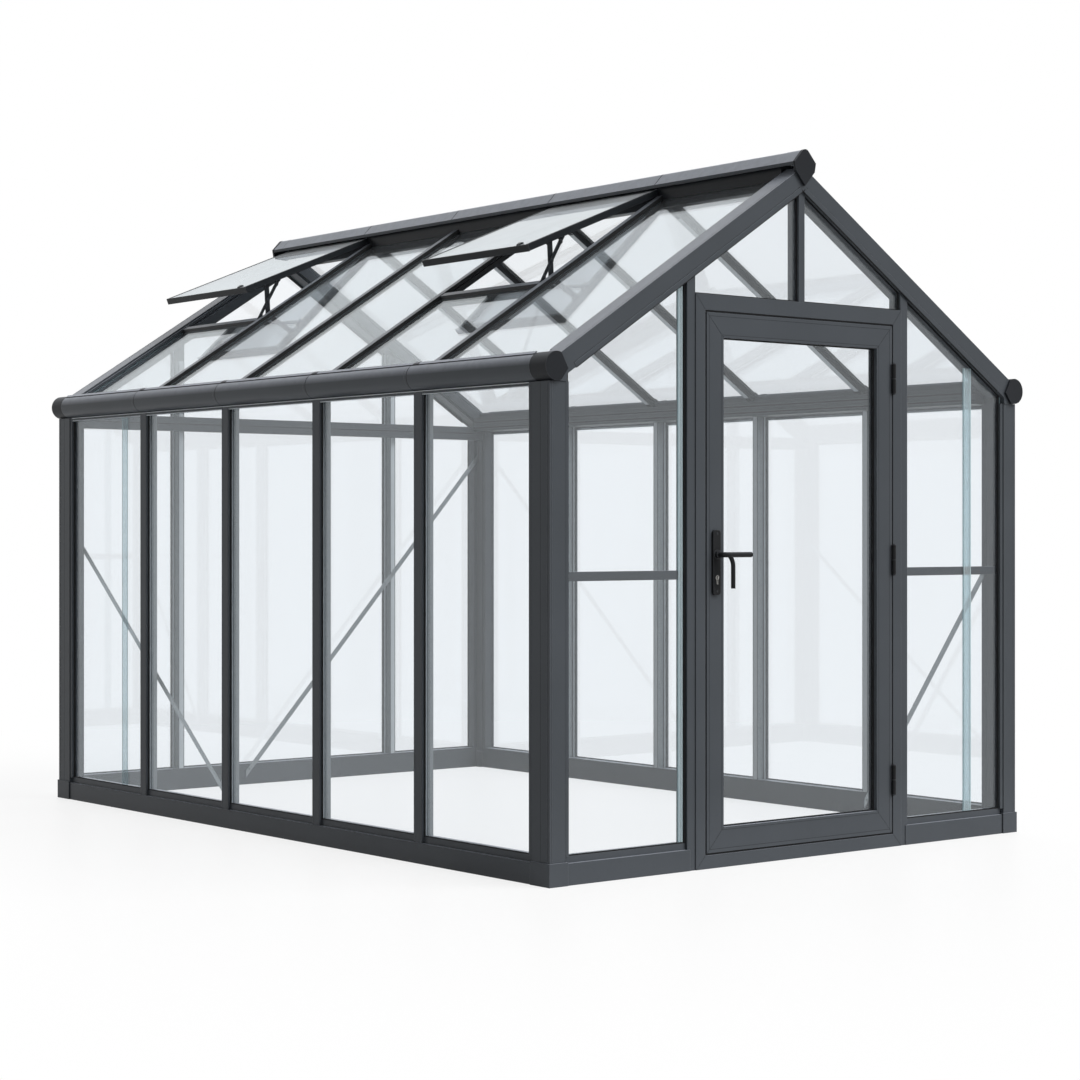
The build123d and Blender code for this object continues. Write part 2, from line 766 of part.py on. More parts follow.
# ------------------------------------------------------------------- door frame
def mitred_ring(outer, inner, foot, sill, head, top):
    """Outlines of the left side, right side, top and bottom of a mitred frame."""
    left = [(-outer, foot), (-inner, sill), (-inner, head), (-outer, top)]
    right = [(-across, height) for across, height in left]
    upper = [(-outer, top), (-inner, head), (inner, head), (outer, top)]
    lower = [(-outer, foot), (outer, foot), (inner, sill), (-inner, sill)]
    return left, right, upper, lower


frame_head = frame_top - head_height
frame_ring = mitred_ring(frame_outer, frame_inner, 0, sill_height, frame_head, frame_top)
stop_inner = frame_inner - stop_reach
stop_ring = mitred_ring(
    frame_inner,
    stop_inner,
    sill_height,
    sill_height + stop_reach,
    frame_head - stop_reach,
    frame_head,
)
stop_start = leaf_inset + leaf_thickness + stop_gap
stop_depth = leaf_inset + frame_depth - stop_start


def frame_side(number):
    """One side of the door frame with its stop."""
    gable_slab(frame_ring[number], leaf_inset, frame_depth)
    gable_slab(stop_ring[number], stop_start, stop_depth)


with BuildPart() as door_jambs:
    frame_side(0)
    frame_side(1)
door_jambs.part.label = "door_jambs"

with BuildPart() as door_head:
    frame_side(2)
door_head.part.label = "door_head"

with BuildPart() as door_sill:
    frame_side(3)
door_sill.part.label = "door_sill"

# -------------------------------------------------------------------- door leaf
leaf_ring = mitred_ring(
    leaf_half,
    leaf_glass_width / 2,
    leaf_bottom,
    leaf_bottom + leaf_rail_height,
    leaf_top - leaf_rail_height,
    leaf_top,
)
handle_x = -leaf_half + stile_width / 2
leaf_face = -half_length + leaf_inset

with BuildPart() as door_stiles:
    gable_slab(leaf_ring[0], leaf_inset, leaf_thickness)
    gable_slab(leaf_ring[1], leaf_inset, leaf_thickness)
    with BuildSketch(Plane.XZ.offset(-leaf_face)):
        with Locations((handle_x, handle_height)):
            Circle(spindle_radius + spindle_play)
    extrude(amount=-leaf_thickness, mode=Mode.SUBTRACT)
door_stiles.part.label = "door_stiles"

with BuildPart() as door_rails:
    gable_slab(leaf_ring[2], leaf_inset, leaf_thickness)
    gable_slab(leaf_ring[3], leaf_inset, leaf_thickness)
door_rails.part.label = "door_rails"

with BuildPart() as door_glass:
    glass_in_leaf = leaf_inset + (leaf_thickness - glass_thickness) / 2
    with Locations((0, -half_length + glass_in_leaf, leaf_bottom + leaf_rail_height)):
        Box(
            leaf_glass_width,
            glass_thickness,
            leaf_top - leaf_bottom - 2 * leaf_rail_height,
            align=(Align.CENTER, Align.MIN, Align.MIN),
        )
door_glass.part.label = "door_glass"

# ----------------------------------------------------------------------- hinges
hinge_x = leaf_half + door_gap / 2
hinge_y = leaf_face - hinge_radius
hinge_places = (leaf_bottom + hinge_from_end, middle_hinge_height, leaf_top - hinge_from_end)
half_knuckle = (hinge_height - hinge_knuckle_gap) / 2

with BuildPart() as hinge_frame_leaves:
    for place in hinge_places:
        with BuildSketch(Plane((hinge_x, hinge_y, place - hinge_height / 2))):
            Circle(hinge_radius)
            with Locations((hinge_plate_width / 2, hinge_radius - hinge_plate_thickness / 2)):
                Rectangle(hinge_plate_width, hinge_plate_thickness)
        extrude(amount=half_knuckle)
        with BuildSketch(Plane((hinge_x, hinge_y, place - hinge_height / 2))):
            Circle(hinge_pin_radius)
        extrude(amount=hinge_height)
hinge_frame_leaves.part.label = "hinge_frame_leaves"

with BuildPart() as hinge_door_leaves:
    for place in hinge_places:
        with BuildSketch(Plane((hinge_x, hinge_y, place + hinge_knuckle_gap / 2))):
            Circle(hinge_radius)
            with Locations((-hinge_plate_width / 2, hinge_radius - hinge_plate_thickness / 2)):
                Rectangle(hinge_plate_width, hinge_plate_thickness)
            Circle(hinge_pin_radius + hinge_pin_play, mode=Mode.SUBTRACT)
        extrude(amount=half_knuckle)
hinge_door_leaves.part.label = "hinge_door_leaves"

# ----------------------------------------------------------------------- handle
plate_middle = handle_height + plate_above - plate_height / 2
leaf_back = leaf_face + leaf_thickness

with BuildPart() as handle_plates:
    for face, direction in ((leaf_face, 1), (leaf_back, -1)):
        with BuildSketch(Plane.XZ.offset(-face)):
            with Locations((handle_x, plate_middle)):
                RectangleRounded(plate_width, plate_height, plate_width / 3)
            with Locations((handle_x, handle_height)):
                Circle(spindle_radius + spindle_play, mode=Mode.SUBTRACT)
        extrude(amount=direction * plate_thickness)
handle_plates.part.label = "handle_plates"

outer_neck = leaf_face - plate_thickness - lever_play
inner_neck = leaf_back + plate_thickness + lever_play


def lever(neck, direction):
    """Hub, neck and bent lever on one side of the door; direction is -1 outside."""
    neck_plane = Plane((handle_x, neck, handle_height), x_dir=(1, 0, 0), z_dir=(0, direction, 0))
    with BuildSketch(neck_plane) as hub:
        Circle(hub_radius)
    extrude(hub.sketch, amount=hub_length)
    bar_y = neck + direction * lever_standoff
    with BuildLine() as path:
        FilletPolyline(
            (handle_x, neck, handle_height),
            (handle_x, bar_y, handle_height),
            (handle_x + lever_length, bar_y, handle_height),
            radius=lever_bend_radius,
        )
    with BuildSketch(neck_plane) as section:
        Circle(lever_radius)
    sweep(section.sketch, path=path.line)


with BuildPart() as outer_lever:
    lever(outer_neck, -1)
    fillet(outer_lever.edges().sort_by(Axis.X)[-1], radius=lever_end_round)
    with BuildSketch(Plane.XZ.offset(-outer_neck)):
        with Locations((handle_x, handle_height)):
            Circle(spindle_radius)
    extrude(amount=-(inner_neck - outer_neck))
    grip_x = handle_x + grip_at
    grip_bend_drop = grip_bend_radius * sin(radians(grip_bend_angle))
    bend_middle = (grip_x - grip_bend_radius, handle_height - grip_bend_drop)
    with BuildLine(Plane.XZ.offset(lever_standoff - outer_neck)) as grip_path:
        CenterArc(bend_middle, grip_bend_radius, grip_bend_angle, -grip_bend_angle)
        Line((grip_x, handle_height - grip_bend_drop), (grip_x, handle_height - grip_length))
    with BuildSketch(Plane(grip_path.line @ 0, z_dir=grip_path.line % 0)):
        Circle(grip_radius)
    sweep()
outer_lever.part.label = "outer_lever"

with BuildPart() as inner_lever:
    lever(inner_neck, 1)
    fillet(inner_lever.edges().sort_by(Axis.X)[-1], radius=lever_end_round)
inner_lever.part.label = "inner_lever"

# ---------------------------------------------------------------------- writing
pieces = (
    base_corner_blocks,
    base_rail_left,
    base_rail_right,
    base_rail_back,
    base_rails_front,
    corner_posts,
    wall_bars_left,
    wall_bars_right,
    glass_left_wall,
    glass_right_wall,
    gutter_left,
    gutter_right,
    gutter_end_caps,
    eaves_beams,
    roof_bars_left,
    roof_bars_right,
    rafters_front,
    rafters_back,
    ridge_beam,
    ridge_cap,
    ridge_end_caps,
    glass_roof_left,
    glass_roof_right,
    vent_stiles,
    vent_rails,
    vent_glass,
    vent_slam_bars,
    vent_stay_tracks,
    vent_stays,
    back_gable_studs,
    back_tie_rail,
    glass_back_gable,
    door_posts,
    gable_centre_stud,
    glass_front_sides,
    glass_over_door,
    front_mid_rails,
    wind_braces,
    door_jambs,
    door_head,
    door_sill,
    door_stiles,
    door_rails,
    door_glass,
    hinge_frame_leaves,
    hinge_door_leaves,
    handle_plates,
    outer_lever,
    inner_lever,
)
os.makedirs("parts", exist_ok=True)
for piece in pieces:
    export_step(piece.part, f"parts/{piece.part.label}.step")
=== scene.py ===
"""Dresses the glass greenhouse: finishes, seals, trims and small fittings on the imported
frame. Metres; +X is to the right of someone facing the door, +Y runs to the back gable."""
import bpy
import bmesh
import math
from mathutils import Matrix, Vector


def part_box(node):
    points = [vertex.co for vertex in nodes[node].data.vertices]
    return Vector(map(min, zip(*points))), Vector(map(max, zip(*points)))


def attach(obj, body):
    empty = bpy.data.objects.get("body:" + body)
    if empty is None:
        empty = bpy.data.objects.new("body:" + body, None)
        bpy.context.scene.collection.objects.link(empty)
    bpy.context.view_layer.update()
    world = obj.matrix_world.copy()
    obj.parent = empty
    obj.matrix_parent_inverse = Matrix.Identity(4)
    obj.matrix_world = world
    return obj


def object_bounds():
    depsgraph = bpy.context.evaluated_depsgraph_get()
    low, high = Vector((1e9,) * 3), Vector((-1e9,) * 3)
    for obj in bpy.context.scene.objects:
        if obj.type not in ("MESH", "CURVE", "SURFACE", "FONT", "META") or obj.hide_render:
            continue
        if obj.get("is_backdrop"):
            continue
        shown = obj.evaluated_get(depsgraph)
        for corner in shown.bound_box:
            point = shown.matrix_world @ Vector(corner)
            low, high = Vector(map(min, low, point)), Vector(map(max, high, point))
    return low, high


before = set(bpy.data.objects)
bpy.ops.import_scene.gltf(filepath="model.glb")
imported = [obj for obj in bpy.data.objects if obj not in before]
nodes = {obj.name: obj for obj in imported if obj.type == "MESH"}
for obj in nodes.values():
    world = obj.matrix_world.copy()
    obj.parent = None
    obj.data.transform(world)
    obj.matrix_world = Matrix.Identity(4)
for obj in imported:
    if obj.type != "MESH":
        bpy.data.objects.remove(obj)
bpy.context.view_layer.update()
scene = bpy.context.scene

# ---- Base: corner blocks and rails ---------------------------------------------------
# Extruded aluminium rails between cast corner blocks, laid flat on the ground. Each joint
# is a butt joint over a sleeve, closed by a thin black seal that shows as a dark line.
half_width = -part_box("base_corner_blocks")[0].x
half_length = -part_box("base_corner_blocks")[0].y
rail_face = half_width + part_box("base_rail_left")[0].x
rail_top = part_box("base_rail_left")[1].z


def linear(hex_colour):
    """An sRGB hex colour as the linear colour that a shader takes."""
    values = [int(hex_colour[at:at + 2], 16) / 255 for at in (1, 3, 5)]
    return [v / 12.92 if v <= 0.04045 else ((v + 0.055) / 1.055) ** 2.4 for v in values] + [1.0]


def add_node(tree, kind, settings=None, links=None):
    """A new node with its properties and sockets set and its inputs linked."""
    node = tree.nodes.new(kind)
    for key, value in (settings or {}).items():
        if isinstance(key, str) and hasattr(node, key):
            setattr(node, key, value)
        else:
            node.inputs[key].default_value = value
    for key, source in (links or {}).items():
        tree.links.new(source, node.inputs[key])
    return node


def new_material(name):
    """An empty material, its node tree and its output node."""
    material = bpy.data.materials.new(name)
    material.use_nodes = True
    material.node_tree.nodes.clear()
    return material, material.node_tree, material.node_tree.nodes.new("ShaderNodeOutputMaterial")


# Polyester powder coat, sprayed on and baked: a satin skin with fine orange peel about
# 1 mm across, drawn 4 mm here, faint drawing lines of the extrusion under it, slight
# shade changes from bar to bar, and pale dust near the ground. What faces up is paled,
# partly by dust and partly as a painted highlight of the light from above. Corners are
# paler, partly rubbed and partly a painted edge highlight.
coat_dark = "#3e4246"
coat_light = "#484c51"
coat_dust_and_top_light = "#b3b9c4"
coat_rubbed_and_edge_highlight = "#8a8e94"
coat_peel = 0.004
coat_cloud = 0.35
coat_line = 0.006


def sprayed(name, dark, light, rough, peel_depth, dust):
    """A sprayed coat in two shades of a colour, with peel, dust and rubbed edges. The dust
    argument is the share of pale on a level face; that pale is partly dust and partly a
    painted highlight of the light from above, and the paler edges are partly a painted
    highlight."""
    material, tree, output = new_material(name)
    place = add_node(tree, "ShaderNodeTexCoord")
    at = place.outputs["Object"]
    cloud = add_node(tree, "ShaderNodeTexNoise", {"Scale": 1 / coat_cloud, "Detail": 4.0}, {"Vector": at})
    shade = add_node(
        tree,
        "ShaderNodeMix",
        {"data_type": "RGBA", 6: linear(dark), 7: linear(light)},
        {0: cloud.outputs["Fac"]},
    )
    surface = add_node(tree, "ShaderNodeNewGeometry")
    facing = add_node(tree, "ShaderNodeSeparateXYZ", {}, {0: surface.outputs["Normal"]})
    spot = add_node(tree, "ShaderNodeSeparateXYZ", {}, {0: surface.outputs["Position"]})
    # painted highlight and dust: faces that point up are paled towards the pale colour, for light from above
    # as well as dust
    upward_dust_and_top_light = add_node(
        tree,
        "ShaderNodeMapRange",
        {"From Min": 0.1, "From Max": 0.9, "To Max": 2 * dust},
        {"Value": facing.outputs["Z"]},
    )
    splash = add_node(
        tree,
        "ShaderNodeMapRange",
        {"From Min": 0.3, "From Max": 0.0, "To Max": 0.07},
        {"Value": spot.outputs["Z"]},
    )
    speck = add_node(
        tree, "ShaderNodeTexNoise", {"Scale": 1 / 0.03, "Detail": 6.0, "Roughness": 0.7}, {"Vector": at}
    )
    settled = add_node(
        tree,
        "ShaderNodeMath",
        {"operation": "ADD"},
        {0: upward_dust_and_top_light.outputs["Result"], 1: splash.outputs["Result"]},
    )
    evened = add_node(
        tree,
        "ShaderNodeMapRange",
        {"To Min": 0.32, "To Max": 0.68},
        {"Value": speck.outputs["Fac"]},
    )
    dust_and_top_light_share = add_node(
        tree,
        "ShaderNodeMath",
        {"operation": "MULTIPLY"},
        {0: settled.outputs["Value"], 1: evened.outputs["Result"]},
    )
    dusted_and_top_lit = add_node(
        tree,
        "ShaderNodeMix",
        {"data_type": "RGBA", 7: linear(coat_dust_and_top_light)},
        {0: dust_and_top_light_share.outputs["Value"], 6: shade.outputs[2]},
    )
    rounded = add_node(tree, "ShaderNodeBevel", {"samples": 4, "Radius": 0.0025})
    turned = add_node(
        tree,
        "ShaderNodeVectorMath",
        {"operation": "DOT_PRODUCT"},
        {0: rounded.outputs["Normal"], 1: surface.outputs["True Normal"]},
    )
    # painted highlight and wear: edges found by the rounded normal are paled
    edge = add_node(
        tree,
        "ShaderNodeMapRange",
        {"From Min": 0.995, "From Max": 0.75, "To Max": 0.4},
        {"Value": turned.outputs["Value"]},
    )
    worn = add_node(
        tree,
        "ShaderNodeMix",
        {"data_type": "RGBA", 7: linear(coat_rubbed_and_edge_highlight)},
        {0: edge.outputs["Result"], 6: dusted_and_top_lit.outputs[2]},
    )
    gloss = add_node(
        tree,
        "ShaderNodeMapRange",
        {"To Min": rough - 0.05, "To Max": rough + 0.07},
        {"Value": speck.outputs["Fac"]},
    )
    drawn = add_node(tree, "ShaderNodeVectorMath", {"operation": "MULTIPLY", 1: (1, 1, 0.004)}, {0: at})
    line = add_node(
        tree,
        "ShaderNodeTexNoise",
        {"Scale": 1 / coat_line, "Detail": 1.0},
        {"Vector": drawn.outputs[0]},
    )
    peel = add_node(tree, "ShaderNodeTexNoise", {"Scale": 1 / coat_peel, "Detail": 2.0}, {"Vector": at})
    relief = add_node(
        tree, "ShaderNodeMath", {"operation": "ADD"}, {0: line.outputs["Fac"], 1: peel.outputs["Fac"]}
    )
    bump = add_node(
        tree,
        "ShaderNodeBump",
        {"Strength": 0.2, "Distance": peel_depth},
        {"Height": relief.outputs["Value"], "Normal": rounded.outputs["Normal"]},
    )
    shader = add_node(
        tree,
        "ShaderNodeBsdfPrincipled",
        {"IOR": 1.5, "Specular IOR Level": 0.13},
        {
            "Base Color": worn.outputs[2],
            "Roughness": gloss.outputs["Result"],
            "Normal": bump.outputs["Normal"],
        },
    )
    tree.links.new(shader.outputs["BSDF"], output.inputs["Surface"])
    return material


def coat(material, *names):
    """Puts a finish on CAD nodes."""
    for name in names:
        for place in nodes[name].material_slots:
            place.material = material


def bar(mesh, outline, start, end, right, up):
    """Adds a straight bar: an outline, given along right and up, drawn from start to end."""
    right, up = Vector(right), Vector(up)
    ends = [[mesh.verts.new(Vector(at) + right * a + up * b) for a, b in outline] for at in (start, end)]
    count = len(outline)
    for at in range(count):
        after = (at + 1) % count
        mesh.faces.new((ends[0][at], ends[0][after], ends[1][after], ends[1][at]))
    mesh.faces.new(ends[0])
    mesh.faces.new(ends[1])


def oblong(left, right, low, high):
    """The four corners of an oblong outline."""
    return [(left, low), (right, low), (right, high), (left, high)]


def strip(mesh, low, high):
    """Adds an upright or level strip between two opposite corners."""
    outline = oblong(low[0], high[0], low[1], high[1])
    bar(mesh, outline, (0, 0, low[2]), (0, 0, high[2]), (1, 0, 0), (0, 1, 0))


def piece(name, mesh, material, body, rounding=0.0006):
    """Makes an object of a mesh in hand, rounds its edges, and sets it on a CAD body."""
    bmesh.ops.recalc_face_normals(mesh, faces=mesh.faces)
    data = bpy.data.meshes.new(name)
    mesh.to_mesh(data)
    mesh.free()
    data.materials.append(material)
    made = bpy.data.objects.new(name, data)
    scene.collection.objects.link(made)
    if rounding:
        edges = made.modifiers.new("rounded_edges", "BEVEL")
        edges.width = rounding
        edges.segments = 2
        edges.limit_method = "ANGLE"
        edges.angle_limit = math.radians(40)
    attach(made, body)
    return made


anthracite = sprayed("powder_coated_aluminium", coat_dark, coat_light, 0.3, 0.0004, 0.6)
coat(anthracite, "base_corner_blocks", "base_rail_left", "base_rail_right")
coat(anthracite, "base_rail_back", "base_rails_front")


def clouded(name, dark, light, size, detail, draw=1.0):
    """A new material with a noise of that size and the shade of two colours that follows
    it. A small draw stretches the noise along the height, as extrusion does."""
    material, tree, output = new_material(name)
    at = add_node(tree, "ShaderNodeTexCoord").outputs["Object"]
    if draw != 1.0:
        drawn = add_node(tree, "ShaderNodeVectorMath", {"operation": "MULTIPLY", 1: (1, 1, draw)}, {0: at})
        at = drawn.outputs[0]
    noise = add_node(tree, "ShaderNodeTexNoise", {"Scale": 1 / size, "Detail": detail}, {"Vector": at})
    shade = add_node(
        tree,
        "ShaderNodeMix",
        {"data_type": "RGBA", 6: linear(dark), 7: linear(light)},
        {0: noise.outputs["Fac"]},
    )
    return material, tree, output, noise.outputs["Fac"], shade.outputs[2]


def skin(tree, shade, relief, settings, dull=None, strength=0.1, depth=0.0002):
    """The lit skin of a material. Its bump follows a noise in hand, or a fine even grain
    given by size and detail. Its roughness is in the settings, or follows a noise between
    two values."""
    links = {"Base Color": shade}
    if isinstance(relief, tuple):
        size, detail = relief
        at = add_node(tree, "ShaderNodeTexCoord").outputs["Object"]
        grain = add_node(tree, "ShaderNodeTexNoise", {"Scale": 1 / size, "Detail": detail}, {"Vector": at})
        relief = grain.outputs["Fac"]
    if dull:
        noise, low, high = dull
        rough = add_node(tree, "ShaderNodeMapRange", {"To Min": low, "To Max": high}, {"Value": noise})
        links["Roughness"] = rough.outputs["Result"]
    if relief:
        bump = add_node(tree, "ShaderNodeBump", {"Strength": strength, "Distance": depth}, {"Height": relief})
        links["Normal"] = bump.outputs["Normal"]
    return add_node(tree, "ShaderNodeBsdfPrincipled", settings, links).outputs["BSDF"]


# Extruded EPDM rubber: matt black, with a fine grain and a faint grey bloom.
rubber, tree, output, bloom, shade = clouded("epdm_rubber", "#0d0e0f", "#1a1b1d", 0.04, 5.0)
matt = {"IOR": 1.5, "Specular IOR Level": 0.3}
shader = skin(tree, shade, (0.002, 2.0), matt, (bloom, 0.6, 0.8), strength=0.2)
tree.links.new(shader, output.inputs["Surface"])

# dark seals where the rails butt against the corner blocks
seal_proud = 0.0006
seal_foot, seal_top = 0.001, 0.0755
joint_wide = 0.0025
side_rail_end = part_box("base_rail_left")[1].y
front_rail_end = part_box("base_rails_front")[1].x
mesh = bmesh.new()
for side in (-1, 1):
    for end in (-1, 1):
        x = side * (half_width - rail_face)
        y = end * (side_rail_end - joint_wide / 2)
        across = sorted((x, x + side * seal_proud))
        strip(mesh, (across[0], y - joint_wide / 2, seal_foot), (across[1], y + joint_wide / 2, seal_top))
        x = side * (front_rail_end - joint_wide / 2)
        y = end * (half_length - rail_face)
        along = sorted((y, y + end * seal_proud))
        strip(mesh, (x - joint_wide / 2, along[0], seal_foot), (x + joint_wide / 2, along[1], seal_top))
piece("base_joint_seals", mesh, rubber, "house", 0)

# ---- Corner posts --------------------------------------------------------------------
# Hollow extruded posts, powder coated, bolted to the corner blocks. A fine bead runs down
# each face near the corner, and a groove marks where the glass lip starts; the grooves are
# thin dark strips, a painted shade.
coat(anthracite, "corner_posts")
post_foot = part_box("base_corner_blocks")[1].z
post_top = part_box("corner_posts")[1].z
post_corner = (half_width - rail_face, half_length - rail_face)
bead = 0.0006
groove = 0.0002
bead_wide = 0.003
groove_wide = 0.001
beads = bmesh.new()
groove_shade_strips = bmesh.new()
for side in (-1, 1):
    for end in (-1, 1):
        for mesh, from_corner, wide, proud in (
            (beads, 0.009, bead_wide, bead),
            (groove_shade_strips, 0.0695, groove_wide, groove),
        ):
            x = sorted(side * (post_corner[0] - from_corner - add) for add in (0, wide))
            y = sorted(end * (post_corner[1] + add) for add in (0, proud))
            strip(mesh, (x[0], y[0], post_foot), (x[1], y[1], post_top))
        for mesh, from_corner, wide, proud in (
            (beads, 0.011, bead_wide, bead),
            (groove_shade_strips, 0.0495, groove_wide, groove),
            (groove_shade_strips, 0.0995, groove_wide, groove),
        ):
            y = sorted(end * (post_corner[1] - from_corner - add) for add in (0, wide))
            x = sorted(side * (post_corner[0] + add) for add in (0, proud))
            strip(mesh, (x[0], y[0], post_foot), (x[1], y[1], post_top))
piece("corner_post_beads", beads, anthracite, "house", 0.0002)
# the grooves: thin dark strips of painted shade
piece("corner_post_groove_shade", groove_shade_strips, rubber, "house", 0)

# ---- Wall bars -----------------------------------------------------------------------
# Extruded glazing bars: an outer cap with two fine ribs, clipped to a box behind the
# glass. A pale PVC capping strip is snapped over the box's inner face, and a slot in each
# corner post beside them takes bolts for shelves; the slot is a dark strip of painted shade.
coat(anthracite, "wall_bars_left", "wall_bars_right")
bar_low, bar_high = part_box("wall_bars_left")
cap_half = 0.025
first_bar = bar_low.y + cap_half
bar_step = (bar_high.y - bar_low.y - 2 * cap_half) / 3
bar_places = [first_bar + bar_step * count for count in range(4)]
cap_front = half_width + bar_low.x
cap_back = cap_front + 0.010
glass_front = cap_back + 0.004
glass_back = glass_front + 0.004
web_back = glass_back + 0.040
wall_inside = half_width - web_back
stud_middle = 0.600
stud_top = 1.99
slot_half = 0.0035
slot_lip = 0.002
rib_from_middle = 0.019
rib_half = 0.0008
rib_proud = 0.0004
rib_foot = 0.077
post_deep = 0.075
post_slot = 0.080


def bolt_slot(dark, lips, start, end, across, out):
    """Adds a slot between two raised lips, from start to end on an inner face. The slot
    itself is a thin dark strip, a painted shade.
    """
    bar(dark, oblong(-slot_half, slot_half, -0.001, 0.0003), start, end, across, out)
    for hand in (-1, 1):
        outline = oblong(hand * slot_half, hand * (slot_half + slot_lip), -0.001, 0.0012)
        bar(lips, outline, start, end, across, out)


ribs = bmesh.new()
slot_shade_strips = bmesh.new()
lips = bmesh.new()
for side in (-1, 1):
    for place in bar_places:
        x = sorted(side * (half_width - cap_front + add) for add in (0, rib_proud))
        for off in (-rib_from_middle, rib_from_middle):
            strip(ribs, (x[0], place + off - rib_half, rib_foot), (x[1], place + off + rib_half, post_top))
    for end in (-1, 1):
        at = (side * (half_width - post_deep), end * (half_length - post_slot))
        bolt_slot(slot_shade_strips, lips, (*at, rail_top), (*at, post_top - 0.06), (0, 1, 0), (-side, 0, 0))
piece("wall_bar_ribs", ribs, anthracite, "house", 0.0002)

# Extruded rigid PVC, pale grey and satin: faint lines run along it, and the sun has
# bleached it unevenly, so the shade drifts a little along each strip.
grey_pvc, tree, output, drift, shade = clouded("extruded_grey_pvc", "#b4babe", "#c3c8cb", 0.25, 3.0)
shader = skin(tree, shade, (0.003, 1.0), {"IOR": 1.53}, (drift, 0.35, 0.45))
tree.links.new(shader, output.inputs["Surface"])


def capping(half, sunk, crest):
    """The outline of a capping strip with a shallow crest along its middle."""
    return [(-half, sunk), (half, sunk), (half, crest - 0.0005), (0, crest), (-half, crest - 0.0005)]


shape = capping(0.0115, -0.0004, 0.0012)
mesh = bmesh.new()
for side in (-1, 1):
    for place in bar_places:
        start, end = (side * wall_inside, place, rail_top), (side * wall_inside, place, post_top)
        bar(mesh, shape, start, end, (0, 1, 0), (-side, 0, 0))
    start = (side * stud_middle, half_length - web_back, rail_top)
    bar(mesh, shape, start, (start[0], start[1], stud_top), (1, 0, 0), (0, -1, 0))
piece("wall_bar_cappings", mesh, grey_pvc, "house", 0.0002)

# The boxes' sides behind the glass are left in satin anodised aluminium, a mid grey with
# fine lines along it.
satin, tree, output, lines, shade = clouded(
    "satin_anodised_aluminium", "#6a7073", "#80868a", 0.005, 3.0, 0.01
)
shader = skin(tree, shade, lines, {"Specular IOR Level": 0.3}, (lines, 0.4, 0.5))
tree.links.new(shader, output.inputs["Surface"])

skin_reach = (0.0145, 0.0155)
behind_glass = glass_back + 0.006
mesh = bmesh.new()
for hand in (-1, 1):
    for side in (-1, 1):
        x = sorted((side * (half_width - behind_glass), side * wall_inside))
        for place in bar_places:
            y = sorted(place + hand * reach for reach in skin_reach)
            strip(mesh, (x[0], y[0], rail_top), (x[1], y[1], post_top))
        y = sorted((half_length - behind_glass, half_length - web_back))
        x = sorted(side * stud_middle + hand * reach for reach in skin_reach)
        strip(mesh, (x[0], y[0], rail_top), (x[1], y[1], stud_top))
piece("wall_bar_side_skins", mesh, satin, "house", 0)

# ---- Glass ---------------------------------------------------------------------------
# Toughened float glass, 4 mm, with ground edges. It is nearly clear and faintly grey
# blue, mirrors the sky more the flatter it is seen, and its cut edges look teal.


def pane_glass(name, across, film_dust_and_veil):
    """Clear float glass whose panes lie across a direction; their cut edges are teal.
    A pale film takes that share of the light, in soft clouds; it is partly dust and partly
    a painted veil that stands in for the sky the glass mirrors."""
    material, tree, output = new_material(name)
    place = add_node(tree, "ShaderNodeTexCoord")
    layer = add_node(tree, "ShaderNodeLayerWeight", {"Blend": 0.5})
    steep = add_node(tree, "ShaderNodeMath", {"operation": "POWER", 1: 5.0}, {0: layer.outputs["Facing"]})
    mirror = add_node(
        tree, "ShaderNodeMath", {"operation": "MULTIPLY_ADD", 1: 0.93, 2: 0.07}, {0: steep.outputs["Value"]}
    )
    smear = add_node(
        tree, "ShaderNodeTexNoise", {"Scale": 1 / 0.5, "Detail": 3.0}, {"Vector": place.outputs["Object"]}
    )
    tint = add_node(
        tree,
        "ShaderNodeMix",
        {"data_type": "RGBA", 6: linear("#fbfcfd"), 7: linear("#fcfdfe")},
        {0: smear.outputs["Fac"]},
    )
    clear = add_node(tree, "ShaderNodeBsdfTransparent", {}, {"Color": tint.outputs[2]})
    # the film's pale: partly dust, partly a painted veil of mirrored sky
    dust = add_node(tree, "ShaderNodeBsdfDiffuse", {"Color": linear("#f1f5f8")})
    settled = add_node(
        tree,
        "ShaderNodeMapRange",
        {"To Min": film_dust_and_veil * 0.6, "To Max": film_dust_and_veil * 1.4},
        {"Value": smear.outputs["Fac"]},
    )
    hazy = add_node(
        tree,
        "ShaderNodeMixShader",
        {},
        {0: settled.outputs["Result"], 1: clear.outputs["BSDF"], 2: dust.outputs["BSDF"]},
    )
    shine = add_node(tree, "ShaderNodeBsdfAnisotropic", {"Color": linear("#eaf0f3"), "Roughness": 0.02})
    pane = add_node(
        tree,
        "ShaderNodeMixShader",
        {},
        {0: mirror.outputs["Value"], 1: hazy.outputs["Shader"], 2: shine.outputs["BSDF"]},
    )
    rim = add_node(
        tree, "ShaderNodeBsdfPrincipled", {"Base Color": linear("#a9c4c8"), "Roughness": 0.15, "Alpha": 0.8}
    )
    side = add_node(
        tree, "ShaderNodeVectorMath", {"operation": "DOT_PRODUCT", 1: across}, {0: place.outputs["Normal"]}
    )
    level = add_node(tree, "ShaderNodeMath", {"operation": "ABSOLUTE"}, {0: side.outputs["Value"]})
    face = add_node(
        tree,
        "ShaderNodeMath",
        {"operation": "GREATER_THAN", 1: 0.5},
        {0: level.outputs["Value"]},
    )
    whole = add_node(
        tree,
        "ShaderNodeMixShader",
        {},
        {0: face.outputs["Value"], 1: rim.outputs["BSDF"], 2: pane.outputs["Shader"]},
    )
    tree.links.new(whole.outputs["Shader"], output.inputs["Surface"])
    return material


